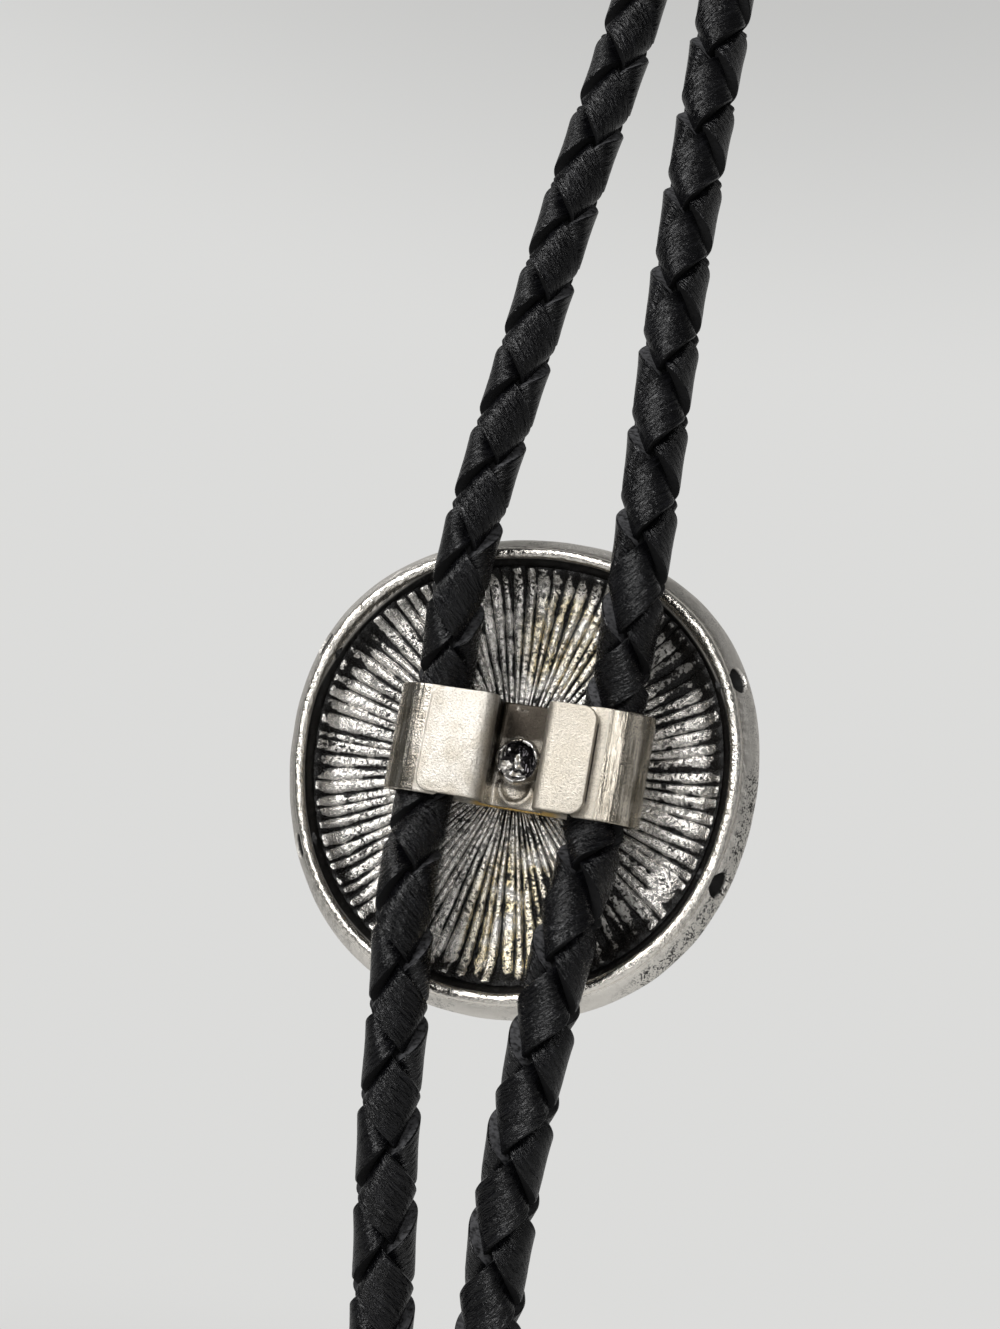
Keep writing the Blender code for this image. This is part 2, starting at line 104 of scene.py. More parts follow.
# Routes of the cords, as in the part's source: x, y, z
NECK_ROUTE = [
    (7.20, -0.25, 1.25),
    (7.20, -0.25, 5.8),
    (7.10, 0.20, 8.5),
    (6.88, 1.40, 11.6),
    (6.55, 2.75, 14.8),
    (6.25, 3.35, 18.0),
    (5.60, 3.40, 26.0),
    (4.55, 3.40, 35.0),
    (2.35, 3.40, 54.0),
    (-0.60, 3.40, 75.5),
    (-1.10, 3.40, 94.0),
    (4.60, 3.40, 128.0),
    (17.0, 3.40, 168.0),
    (33.5, 3.40, 212.0),
    (47.5, 3.40, 258.0),
    (53.4, 3.40, 303.0),
    (43.5, 3.40, 344.0),
    (22.5, 3.40, 365.5),
    (-4.6, 3.40, 372.0),
    (-31.7, 3.40, 365.5),
    (-52.7, 3.40, 344.0),
    (-62.6, 3.40, 303.0),
    (-56.7, 3.40, 258.0),
    (-42.7, 3.40, 212.0),
    (-26.2, 3.40, 168.0),
    (-13.8, 3.40, 128.0),
    (-9.3, 3.40, 94.0),
    (-9.05, 3.40, 75.5),
    (-8.95, 3.40, 54.0),
    (-9.30, 3.40, 35.0),
    (-9.60, 3.40, 26.0),
    (-9.75, 3.35, 18.0),
    (-9.60, 2.75, 14.8),
    (-9.35, 1.40, 11.6),
    (-9.05, 0.20, 8.5),
    (-8.90, -0.25, 5.8),
    (-8.90, -0.25, 1.25),
]
LEFT_TAIL_ROUTE = [
    (7.20, -0.25, 0.95),
    (7.20, -0.25, -3.6),
    (7.05, 0.20, -6.3),
    (6.70, 1.40, -9.4),
    (6.15, 2.75, -12.8),
    (5.60, 3.35, -16.2),
    (4.75, 3.40, -22.0),
    (3.90, 3.40, -30.0),
    (2.65, 3.40, -38.0),
    (1.50, 3.40, -44.8),
    (0.86, 3.40, -49.5),
    (0.62, 3.40, -53.5),
    (0.60, 3.40, -60.0),
]
RIGHT_TAIL_ROUTE = [
    (-8.90, -0.25, 0.95),
    (-8.90, -0.25, -3.6),
    (-8.90, 0.20, -6.3),
    (-8.86, 1.40, -9.4),
    (-8.70, 2.75, -12.8),
    (-8.50, 3.35, -16.2),
    (-8.10, 3.40, -22.0),
    (-7.65, 3.40, -30.0),
    (-7.50, 3.40, -38.0),
    (-7.78, 3.40, -44.8),
    (-8.08, 3.40, -49.5),
    (-8.25, 3.40, -53.5),
    (-8.27, 3.40, -60.0),
]

# Casting: radii from its axis, depths below the crest of the back rim
CONCHO_RADIUS = 22.5
WIDEST_DEPTH = 2.9
EDGE_DEPTH = 4.7
DOME_RISE = 1.5
FRONT_BORDER = 2.2
FRONT_STEP = 0.35
LIP_RADIUS = 20.6
LIP_BEAD = 0.5
FLOOR_RADIUS = 19.2
FLOOR_DEPTH = 2.1
SEAT_RADIUS = 4.4
SEAT_DEPTH = 3.2
FLOOR_CURVE = 3.0
RIB_COUNT = 90
RIB_DEPTH = 0.4
RIB_COLUMNS = 12
FLOOR_ROWS = 62
THREE_LOBES = 0.31
THREE_LOBES_BEARING = math.radians(27.5)
FOUR_LOBES = 0.32
FOUR_LOBES_BEARING = math.radians(40.4)
HOLE_BEARINGS = [math.radians(angle) for angle in (24, 151, 200, 331)]
HOLE_LENGTH = 2.3
HOLE_HEIGHT = 1.2
HOLE_DEPTH = 1.35
HOLE_SUNK = 1.5
# Surface worked by hand: how far it wanders, how often, and the seed of that noise
HAND_WORK = (0.05, 0.35)
HAND_SEED = 4
# Marks on the casting: place in X and Z, and reach both ways
DENSE_PITS = ((-20.0, -8.0), (9.0, 13.0))
DARKER_PLACES = [((-13.5, 12.6), (5.5, 4.8)), ((-10.0, -12.5), (7.0, 6.0))]
YELLOW_PLACES = [((-2.6, 12.4), (5.2, 5.6)), ((-2.2, -13.6), (5.6, 8.4))]
WORN_PLACE = (-15.5, -8.1)
WORN_RADIUS = 1.9

# Clip
GAP = 0.2
SHEET = 0.6
SHEET_EDGE = 0.14
SHEET_SPACING = 0.22
SHEET_ROWS = 61
CLIP_X = -0.85
CLIP_Z = 1.1
CORD_SPACING = 16.1
BACK_STRIP_HEIGHT = 9.9
FLAP_STRIP_HEIGHT = 9.6
CURL_HALF_WIDTH = 3.6
CURL_HALF_DEPTH = 2.45
CURL_END_ANGLE = math.radians(122)
TROUGH_HALF_WIDTH = 2.35
TROUGH_LEAN = 0.35
PAD_BEND = 0.8
FLAP_BEND = 0.9
LEFT_FLAP_REACH = 8.0
RIGHT_FLAP_REACH = 7.4
FLAP_CORNER = 1.3
CURL_CORNER = 0.5
# Dish pressed in the pad's lower end, with a raised ring round it
DISH_Z = -2.9
DISH_TOP = -2.3
DISH_RADIUS = 1.6
DISH_DEPTH = 0.3
RING_RADIUS = 1.5
RING_WIDTH = 0.3
RING_HEIGHT = 0.45
BACK_STRIP_Y = -SEAT_DEPTH + GAP + SHEET / 2
PAD_Y = BACK_STRIP_Y + SHEET + GAP
CLIP_CORD_Y = BACK_STRIP_Y + CURL_HALF_DEPTH
FLAP_Y = CLIP_CORD_Y + CURL_HALF_DEPTH + SHEET + GAP

# Rivet
RIVET_Z = 0.55
RIVET_HEAD_RADIUS = 2.05
RIVET_HEAD_HEIGHT = 0.9
RIVET_CRATER_RADIUS = 1.35
RIVET_CRATER_DEPTH = 0.6

# Cord tips
TIP_LENGTH = 28.0
TIP_MOUTH_RADIUS = 3.6
TIP_END_RADIUS = 1.7
TIP_SOCKET_DEPTH = 9.0

# Lamps: place from the slide, width and height, and watts
LAMPS = {
    "key": ((215, 320, 225), (230, 210), 1.68),
    "fill": ((-85, 385, 60), (55, 320), 0.42),
    "side": ((-330, 200, -40), (200, 300), 0.11),
}
PALE = (1.0, 1.0, 0.985, 1)
# Black of the patina, also used for the painted shade in the side holes and near the rib wall.
SOOT_AND_SHADE = (0.006, 0.0055, 0.005, 1)
# Floor, in metres: distance below the tips, and where it starts and ends to fade
FLOOR_DROP = 0.075
FLOOR_FADE = (0.12, 0.36)


def at(point):
    """Return a place of the slide's frame in the row's frame, in metres."""
    return Vector((SLIDE + np.array(point)) * MM)


class Value:
    """A number that varies over a surface: arithmetic on it adds Math nodes."""

    def __init__(self, tree, socket):
        self.tree = tree
        self.socket = socket

    def maths(self, operation, *others):
        """Return a Math node's answer for this number and any others."""
        return self.tree.maths(operation, self, *others)

    def __add__(self, other):
        return self.maths("ADD", other)

    def __sub__(self, other):
        return self.maths("SUBTRACT", other)

    def __mul__(self, other):
        return self.maths("MULTIPLY", other)

    def __truediv__(self, other):
        return self.maths("DIVIDE", other)

    def __pow__(self, other):
        return self.maths("POWER", other)

    def __rsub__(self, other):
        return self.tree.maths("SUBTRACT", other, self)

    __radd__ = __add__
    __rmul__ = __mul__

    def ramp(self, low, high):
        """Return 0 below low, 1 above high and a smooth rise between them; low may be the higher."""
        limits = {"Value": self, "From Min": low, "From Max": high}
        return self.tree.add("ShaderNodeMapRange", {"interpolation_type": "SMOOTHSTEP"}, limits)


class Tree:
    """A node tree in the making, of a material, a world or a modifier."""

    def __init__(self, nodes):
        self.nodes = nodes.nodes
        self.links = nodes.links

    def add(self, kind, settings=None, sockets=None, output=0):
        """Add a node, set it up, fill its sockets with values or links, and return one output."""
        node = self.nodes.new(kind)
        for name, setting in (settings or {}).items():
            setattr(node, name, setting)
        for name, value in (sockets or {}).items():
            if isinstance(value, Value):
                self.links.new(value.socket, node.inputs[name])
            else:
                node.inputs[name].default_value = value
        return Value(self, node.outputs[output])

    def maths(self, operation, *terms):
        """Return a Math node's answer."""
        return self.add("ShaderNodeMath", {"operation": operation}, dict(enumerate(terms)))

    def mix(self, factor, first, second):
        """Mix two colours."""
        return self.add("ShaderNodeMix", {"data_type": "RGBA"}, {0: factor, 6: first, 7: second}, 2)

    def noise(self, where, scale, detail=2.0, roughness=0.5, distortion=0.0):
        """Return a noise value from 0 to 1."""
        sockets = {
            "Vector": where,
            "Scale": scale,
            "Detail": detail,
            "Roughness": roughness,
            "Distortion": distortion,
        }
        return self.add("ShaderNodeTexNoise", {}, sockets)

    def scaled(self, where, factors):
        """Multiply a vector by three factors."""
        return self.add("ShaderNodeVectorMath", {"operation": "MULTIPLY"}, {0: where, 1: factors})

    def combined(self, x, y, z):
        """Make a vector from three values."""
        return self.add("ShaderNodeCombineXYZ", {}, {0: x, 1: y, 2: z})

    def parts(self, vector):
        """Return the three values of a vector."""
        x = self.add("ShaderNodeSeparateXYZ", {}, {0: vector}, 0)
        node = x.socket.node
        return x, Value(self, node.outputs[1]), Value(self, node.outputs[2])


class Finish(Tree):
    """A material in the making, round one Principled shader."""

    def __init__(self, name, **constants):
        self.material = bpy.data.materials.new(name)
        self.material.use_nodes = True
        super().__init__(self.material.node_tree)
        self.shader = self.nodes["Principled BSDF"]
        for socket, value in constants.items():
            self.shader.inputs[socket.replace("_", " ")].default_value = value

    def set(self, **values):
        """Link varying values to the shader's sockets."""
        for socket, value in values.items():
            self.links.new(value.socket, self.shader.inputs[socket.replace("_", " ")])

    def bump(self, height, distance):
        """Return a normal bent by a height; distance is in metres."""
        return self.add("ShaderNodeBump", {}, {"Height": height, "Distance": distance})

    def place(self):
        """Return the place on the slide in millimetres, from the rim's centre."""
        metres = self.add("ShaderNodeTexCoord", output="Object")
        return self.add(
            "ShaderNodeVectorMath",
            {"operation": "MULTIPLY_ADD"},
            {0: metres, 1: (1 / MM, 1 / MM, 1 / MM), 2: tuple(-SLIDE)},
        )

    def attribute(self, name):
        """Return a named number kept on the mesh."""
        return self.add("ShaderNodeAttribute", {"attribute_name": name}, output="Fac")


def grey(level, warmth=0.0):
    """Return a grey colour, warmer where warmth is more."""
    return (level * (1 + warmth), level, level * (1 - 1.6 * warmth), 1.0)


def leather_finish():
    """Black grain leather: creases and pores along each lace, a little grey in patches on the creases."""
    finish = Finish("black_lace_leather", Specular_IOR_Level=0.3)
    laid = finish.add("ShaderNodeUVMap", {"uv_map": "lace"})
    creases = finish.noise(finish.scaled(laid, (3.2, 0.6, 1.0)), 1.0, 3.0, 0.6, 0.5)
    pores = finish.noise(finish.scaled(laid, (6.5, 3.4, 1.0)), 1.0, 2.0, 0.6)
    patches = finish.noise(finish.scaled(laid, (0.5, 0.22, 1.0)), 1.0, 2.0)
    rubbed_and_painted_light = patches.ramp(0.42, 0.6) * creases.ramp(0.42, 0.66)
    height = creases * 0.88 + pores * 0.12
    finish.set(
        Base_Color=finish.mix(rubbed_and_painted_light, (0.0012, 0.0012, 0.0018, 1), (0.008, 0.008, 0.0095, 1)),
        Roughness=0.17 + 0.18 * pores,
        Normal=finish.bump(height, 0.00042),
    )
    return finish.material


def cut_leather_finish():
    """The cut sides of the laces: matt and black, with painted light: grey along the upper edges, as if
    lit from above.
    """
    finish = Finish("cut_lace_side", Specular_IOR_Level=0.3)
    laid = finish.add("ShaderNodeUVMap", {"uv_map": "lace"})
    fibre = finish.noise(finish.scaled(laid, (14.0, 2.4, 1.0)), 1.0, 3.0, 0.6)
    # Painted light: cut edges that face up are painted grey, those that face down stay black as painted
    # shade.
    rubbed_and_painted_light = finish.attribute("rubbed_and_painted_light") * fibre.ramp(0.3, 0.62)
    finish.set(
        Base_Color=finish.mix(rubbed_and_painted_light, (0.0016, 0.0016, 0.002, 1), (0.07, 0.07, 0.074, 1)),
        Roughness=0.62 + 0.2 * fibre,
        Normal=finish.bump(fibre, 0.00006),
    )
    return finish.material


def hypotenuse(across, up):
    """Return the distance that two varying legs make."""
    return (across * across + up * up) ** 0.5


def spot(x, z, centre, reach):
    """Return 1 at a place on the slide, fading to 0 at its reach."""
    across = (x - centre[0]) / reach[0]
    up = (z - centre[1]) / reach[1]
    return (across * across + up * up).ramp(1.0, 0.3)


def casting_finish():
    """Cast silver plate: bright where use has polished it, gritty at its side, black in its recesses, with
    painted shade in its shallow side holes.
    """
    finish = Finish("antiqued_casting", Specular_IOR_Level=0.25)
    where = finish.place()
    x, y, z = finish.parts(where)
    depth = -1.0 * y
    radius = hypotenuse(x, z)
    grain = finish.noise(where, 3.2, 4.0, 0.62)
    pits = 0.5 * finish.noise(where, 1.5, 3.0, 0.7) + 0.5 * finish.noise(where, 6.5, 1.0)
    cloud = finish.noise(where, 0.22, 2.0)
    uneven = finish.noise(where, 0.9, 2.0)
    inside = radius.ramp(LIP_RADIUS - 0.05, LIP_RADIUS - 0.5)
    recess = inside * depth.ramp(0.25, 0.75) * depth.ramp(FLOOR_DEPTH + 1.4, FLOOR_DEPTH + 0.9)
    side = depth.ramp(0.7, 1.3) * radius.ramp(LIP_RADIUS, LIP_RADIUS + 0.5)
    gritty = (0.5 * cloud.ramp(0.28, 0.52) + spot(x, z, *DENSE_PITS)).ramp(0.0, 1.0)
    speckle = side * pits.ramp(0.505, 0.55) * gritty
    # Painted shade: the inside of the shallow side holes is painted black.
    painted_hole_shade = finish.attribute("painted_hole_shade").ramp(0.02, 0.3)
    dark = (recess + speckle * 0.85 + painted_hole_shade).ramp(0.0, 1.0)
    bead = finish.mix(cloud, grey(0.86, 0.04), grey(0.76, 0.06))
    silver = finish.mix(side, bead, grey(0.8, 0.04))
    finish.set(
        Base_Color=finish.mix(dark, silver, SOOT_AND_SHADE),
        Metallic=1.0 - dark,
        Roughness=0.15 + 0.28 * side + 0.12 * grain + 0.1 * dark,
        Normal=finish.bump(grain * 0.5 + pits * 0.15 + uneven * 1.5, 0.00016),
    )
    return finish.material


def rib_finish():
    """The ribbed floor: bright crests, black grooves, and a yellow tarnish in places."""
    finish = Finish("antiqued_ribs", Specular_IOR_Level=0.25)
    where = finish.place()
    x, _, z = finish.parts(where)
    crest = finish.attribute("crest")
    blotch = finish.noise(where, 0.34, 3.0, 0.6)
    patches = blotch.ramp(0.42, 0.62)
    fleck = finish.noise(where, 3.2, 4.0, 0.7)
    rim_shade = hypotenuse(x, z).ramp(FLOOR_RADIUS - 1.6, FLOOR_RADIUS - 0.1)
    # Darker in two places beside the right cord.
    darker_spots = spot(x, z, *DARKER_PLACES[0]) + spot(x, z, *DARKER_PLACES[1])
    level = 0.29 + 0.44 * patches + 0.7 * (fleck - 0.5) + 0.4 * rim_shade + 0.15 * darker_spots
    soot = fleck.ramp(0.51, 0.56) * (0.45 + 0.55 * blotch.ramp(0.42, 0.6)) + darker_spots * 0.35
    dark = (level - crest).ramp(-0.1, 0.1)
    dark = (dark + soot * (1.0 - dark)).ramp(0.0, 1.0)
    yellow = spot(x, z, *YELLOW_PLACES[0]) + spot(x, z, *YELLOW_PLACES[1])
    yellow = yellow * blotch.ramp(0.36, 0.54) * (0.35 + 0.65 * (1.0 - crest).ramp(0.05, 0.4))
    silver = finish.mix(fleck, grey(0.88, 0.02), grey(0.52, 0.06))
    tinted = finish.mix(yellow * 0.8, silver, (0.8, 0.66, 0.34, 1))
    finish.set(
        Base_Color=finish.mix(dark, tinted, SOOT_AND_SHADE),
        Metallic=1.0 - dark,
        Roughness=0.09 + 0.12 * fleck + 0.12 * dark,
        Normal=finish.bump(fleck, 0.00013),
    )
    return finish.material


def sheet_finish():
    """Satin nickel sheet: fine speckle, scuffed streaks on the curls, grime and painted shade where parts
    meet.
    """
    finish = Finish("satin_nickel_sheet", Specular_IOR_Level=0.5)
    where = finish.place()
    x, y, z = finish.parts(where)
    speckle = finish.noise(where, 5.5, 3.0, 0.7)
    streak = finish.noise(finish.scaled(where, (1.3, 1.3, 0.1)), 1.6, 2.0, 0.55)
    stain = finish.noise(where, 0.5, 2.0)
    off_middle = (x - CLIP_X).maths("ABSOLUTE")
    curled = off_middle.ramp(8.0, 8.6)
    trough = off_middle.ramp(3.1, 2.5) * y.ramp(2.2, 1.0)
    low_end = z.ramp(-2.6, -1.6) * (0.4 + 0.6 * stain)
    high_end = z.ramp(2.4, 3.0) * stain.ramp(0.3, 0.5) * 0.6
    # Painted shade: a thin dark line along the flaps' free edges, in the gap where they rest over the
    # curls.
    past_left = x - (CLIP_X + LEFT_FLAP_REACH)
    past_right = (CLIP_X - RIGHT_FLAP_REACH) - x
    painted_gap_shade = 0.0
    for past in (past_left, past_right):
        painted_gap_shade = painted_gap_shade + past.ramp(0.16, 0.04) * past.ramp(-0.2, 0.0)
    painted_gap_shade = painted_gap_shade * y.ramp(CLIP_CORD_Y, CLIP_CORD_Y + 1.0) * y.ramp(FLAP_Y - 0.15, FLAP_Y - 0.35)
    painted_gap_shade = painted_gap_shade * (z - CLIP_Z).maths("ABSOLUTE").ramp(4.0, 3.2) * 0.8
    # Grime and painted shade: dark brown at both ends of the trough between the flaps, plus the painted
    # shade line at the flap edges.
    dirt_and_shade = (trough * (low_end + high_end) + painted_gap_shade).ramp(0.2, 0.9)
    gilt = off_middle.ramp(4.6, 3.4) * y.ramp(-2.2, -2.4) * z.ramp(-3.35, -3.6)
    tarnish = curled * (0.3 + 0.4 * streak.ramp(0.42, 0.6) + 0.25 * stain.ramp(0.5, 0.7))
    colour = finish.mix(stain.ramp(0.32, 0.68), grey(0.69, 0.06), grey(0.54, 0.09))
    # Painted shade: the clip grows darker from x = 0 to x = -2.5 and beyond, over the right flap, as it is
    # farther from the light.
    colour = finish.mix(x.ramp(0.0, -2.5) * 0.7, colour, grey(0.55, 0.1))
    colour = finish.mix(speckle.ramp(0.46, 0.66) * 0.55, colour, grey(0.32, 0.09))
    colour = finish.mix(tarnish, colour, grey(0.2, 0.13))
    colour = finish.mix(dirt_and_shade, colour, (0.05, 0.042, 0.033, 1))
    finish.set(
        Base_Color=finish.mix(gilt, colour, (0.8, 0.55, 0.2, 1)),
        Metallic=1.0 - 0.1 * speckle,
        Roughness=0.34 + 0.14 * speckle - 0.25 * curled - 0.16 * trough,
        Normal=finish.bump(speckle * (0.6 - 0.35 * curled) + streak * (0.4 + 0.2 * curled), 0.00012),
    )
    return finish.material


def rivet_finish():
    """The rivet: dark, glossy and smeared, with painted highlights: pale rough spots that stand in for
    glints.
    """
    finish = Finish("dark_rivet_plate", Specular_IOR_Level=0.6)
    where = finish.place()
    smear = finish.noise(where, 0.62, 2.0, 0.5, 0.7)
    # Painted highlights: bright spots of pale rough metal in place of glints.
    bright = smear.ramp(0.48, 0.53)
    x, _, z = finish.parts(where)
    rim = hypotenuse(x - CLIP_X, z - RIVET_Z).ramp(RIVET_HEAD_RADIUS - 0.25, RIVET_HEAD_RADIUS - 0.07)
    worn_and_painted_light = finish.mix(rim, (0.02, 0.018, 0.02, 1), (0.4, 0.36, 0.3, 1))
    finish.set(
        Base_Color=finish.mix(bright, worn_and_painted_light, grey(0.95, 0.02)),
        Metallic=0.8 + 0.2 * bright,
        Roughness=0.06 + 0.24 * bright,
        Normal=finish.bump(smear, 0.0005),
    )
    return finish.material


def tip_finish():
    """Plain polished tips with fine turning lines and a little dulling."""
    finish = Finish("polished_tip_plate", Specular_IOR_Level=0.5)
    where = finish.place()
    lines = finish.noise(finish.scaled(where, (0.05, 0.05, 9.0)), 1.0, 2.0)
    dull = finish.noise(where, 0.4, 3.0)
    finish.set(
        Base_Color=finish.mix(dull, grey(0.78, 0.02), grey(0.66, 0.03)),
        Metallic=1.0 - 0.04 * dull,
        Roughness=0.16 + 0.12 * dull + 0.05 * lines,
        Normal=finish.bump(lines, 0.00002),
    )
    return finish.material


def piece(name, mesh, replaced):
    """Put a finished mesh in the scene on the root body, and hide the node that it replaces, if any."""
    thing = bpy.data.objects.new(name, mesh)
    bpy.context.scene.collection.objects.link(thing)
    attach(thing, "root")
    if replaced:
        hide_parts(replaced)
    return thing


def evaluated(thing):
    """Return an object's mesh with its modifiers applied, and remove the object."""
    graph = bpy.context.evaluated_depsgraph_get()
    mesh = bpy.data.meshes.new_from_object(thing.evaluated_get(graph))
    bpy.data.objects.remove(thing)
    return mesh


def in_place(points):
    """Turn an array of places in the slide's frame into vertices of the row's frame."""
    return (np.asarray(points) + SLIDE) * MM


def new_mesh(name, places, faces, *finishes):
    """Return a mesh of places in the slide's frame."""
    mesh = bpy.data.meshes.new(name)
    mesh.from_pydata(in_place(places).tolist(), [], faces)
    for finish in finishes:
        mesh.materials.append(finish)
    return mesh


def store(mesh, name, numbers):
    """Keep a number on each vertex, for a finish to read."""
    kept = mesh.attributes.new(name, "FLOAT", "POINT")
    kept.data.foreach_set("value", np.array(numbers, dtype=np.float32))


def outward(mesh, sharp_angle=180):
    """Turn a closed mesh's faces outward, and shade it smooth but at its sharp edges."""
    work = bmesh.new()
    work.from_mesh(mesh)
    loose = [vertex for vertex in work.verts if not vertex.link_faces]
    bmesh.ops.delete(work, geom=loose, context="VERTS")
    bmesh.ops.recalc_face_normals(work, faces=work.faces)
    work.to_mesh(mesh)
    work.free()
    mesh.shade_smooth()
    if sharp_angle < 180:
        mesh.set_sharp_from_angle(angle=math.radians(sharp_angle))


def grid_faces(rows, columns, close_columns=False):
    """Return the quads of a grid of rows by columns of vertices."""
    column = np.arange(columns if close_columns else columns - 1)
    start, j = np.meshgrid(np.arange(rows - 1) * columns, column, indexing="ij")
    after = (j + 1) % columns
    corners = (start + j, start + columns + j, start + columns + after, start + after)
    return np.stack(corners, axis=-1).reshape(-1, 4)


def spline_through(points):
    """Return a function along a natural cubic spline through some points, and its whole length."""
    points = np.array(points, dtype=float)
    knots = np.concatenate([[0.0], np.cumsum(np.linalg.norm(np.diff(points, axis=0), axis=1))])
    gaps = np.diff(knots)
    count = len(points)
    system = np.eye(count)
    right = np.zeros_like(points)
    for i in range(1, count - 1):
        system[i, i - 1:i + 2] = gaps[i - 1], 2 * (gaps[i - 1] + gaps[i]), gaps[i]
        right[i] = 6 * ((points[i + 1] - points[i]) / gaps[i] - (points[i] - points[i - 1]) / gaps[i - 1])
    bend = np.linalg.solve(system, right)

    def place(where):
        where = np.atleast_1d(where)
        i = np.clip(np.searchsorted(knots, where) - 1, 0, count - 2)
        before, after, gap = (where - knots[i])[:, None], (knots[i + 1] - where)[:, None], gaps[i][:, None]
        cubic = (bend[i] * after ** 3 + bend[i + 1] * before ** 3) / (6 * gap)
        start = (points[i] / gap - bend[i] * gap / 6) * after
        end = (points[i + 1] / gap - bend[i + 1] * gap / 6) * before
        return cubic + start + end

    return place, knots[-1]


class Line:
    """The middle line of a cord, with its two cross directions and its squeeze in the clip."""

    STEP = 0.25

    def __init__(self, route, clip_at_both_ends):
        place, length = spline_through(route)
        rough = place(np.linspace(0, length, int(length / self.STEP)))
        run = np.concatenate([[0.0], np.cumsum(np.linalg.norm(np.diff(rough, axis=0), axis=1))])
        self.run, self.points = run, rough
        self.length = run[-1]
        tangent = np.gradient(rough, run, axis=0)
        tangent /= np.linalg.norm(tangent, axis=1)[:, None]
        back = np.array((0.0, 1.0, 0.0)) - tangent * tangent[:, 1:2]
        self.back = back / np.linalg.norm(back, axis=1)[:, None]
        self.side = np.cross(tangent, self.back)
        self.rising = tangent[:, 2]
        # Which winding has the laces whose upper edges stand out
        self.hand = 1 if clip_at_both_ends or route[0][0] < CLIP_X else -1
        from_clip = np.minimum(run, self.length - run) if clip_at_both_ends else run
        swell = np.clip((from_clip - SQUEEZED_LENGTH) / SWELL_LENGTH, 0, 1)
        swell = swell * swell * (3 - 2 * swell)
        self.depth = CLIP_DEPTH_SHARE + (1 - CLIP_DEPTH_SHARE) * swell
        self.width = CLIP_WIDTH_SHARE + (1 - CLIP_WIDTH_SHARE) * swell

    def along(self, table, where):
        """Read a table kept along the line at some lengths."""
        if table.ndim == 1:
            return np.interp(where, self.run, table)
        return np.stack([np.interp(where, self.run, table[:, k]) for k in range(3)], axis=-1)

    def surface(self, where, angle, radius):
        """Return places at lengths, angles from the back towards the side, and radii."""
        deep = self.along(self.depth, where) * radius * np.cos(angle)
        wide = self.along(self.width, where) * radius * np.sin(angle)
        middle = self.along(self.points, where)
        back, side = self.along(self.back, where), self.along(self.side, where)
        return middle + back * deep[..., None] + side * wide[..., None]

    def at_height(self, height, first=True):
        """Return the length where the line crosses a height, in its first or last half."""
        half = slice(0, len(self.run) // 2) if first else slice(len(self.run) // 2, None)
        nearest = np.argmin(np.abs(self.points[half, 2] - height))
        return self.run[half][nearest]


# Section of a lace, as shares of its half width and its thickness, outer side first
SECTION = np.array([
    (-0.88, 0.5),
    (-0.6, 0.5),
    (-0.2, 0.5),
    (0.2, 0.5),
    (0.6, 0.5),
    (0.88, 0.5),
    (0.93, 0.4),
    (1.0, -0.5),
    (0.0, -0.5),
    (-1.0, -0.5),
    (-0.93, 0.4),
])
CUT_SIDES = (6, 9)


def crossing_rows(line, phases, own, over_at, fine):
    """Return the other way's phases at a lace's rows, closer together where it lies over."""
    turn = 2 * math.pi
    # Both ends have a lace's width to spare
    first = math.floor((2 * phases[0] - own - math.pi - over_at) / turn)
    last = math.ceil((2 * phases[-1] - own + turn - over_at) / turn)
    reach = OVER_SHARE * math.pi
    rows = []
    for crossing in range(first, last):
        middle = over_at + turn * crossing
        near = np.interp((middle + own) / 2, phases, line.run)
        over, under = CLOSE_ROWS if fine(near) else FAR_ROWS
        rows.extend(middle + np.linspace(-reach, reach, over))
        rows.extend(middle + np.linspace(reach, turn - reach, under + 1)[1:-1])
    return np.array(rows)[:, None]


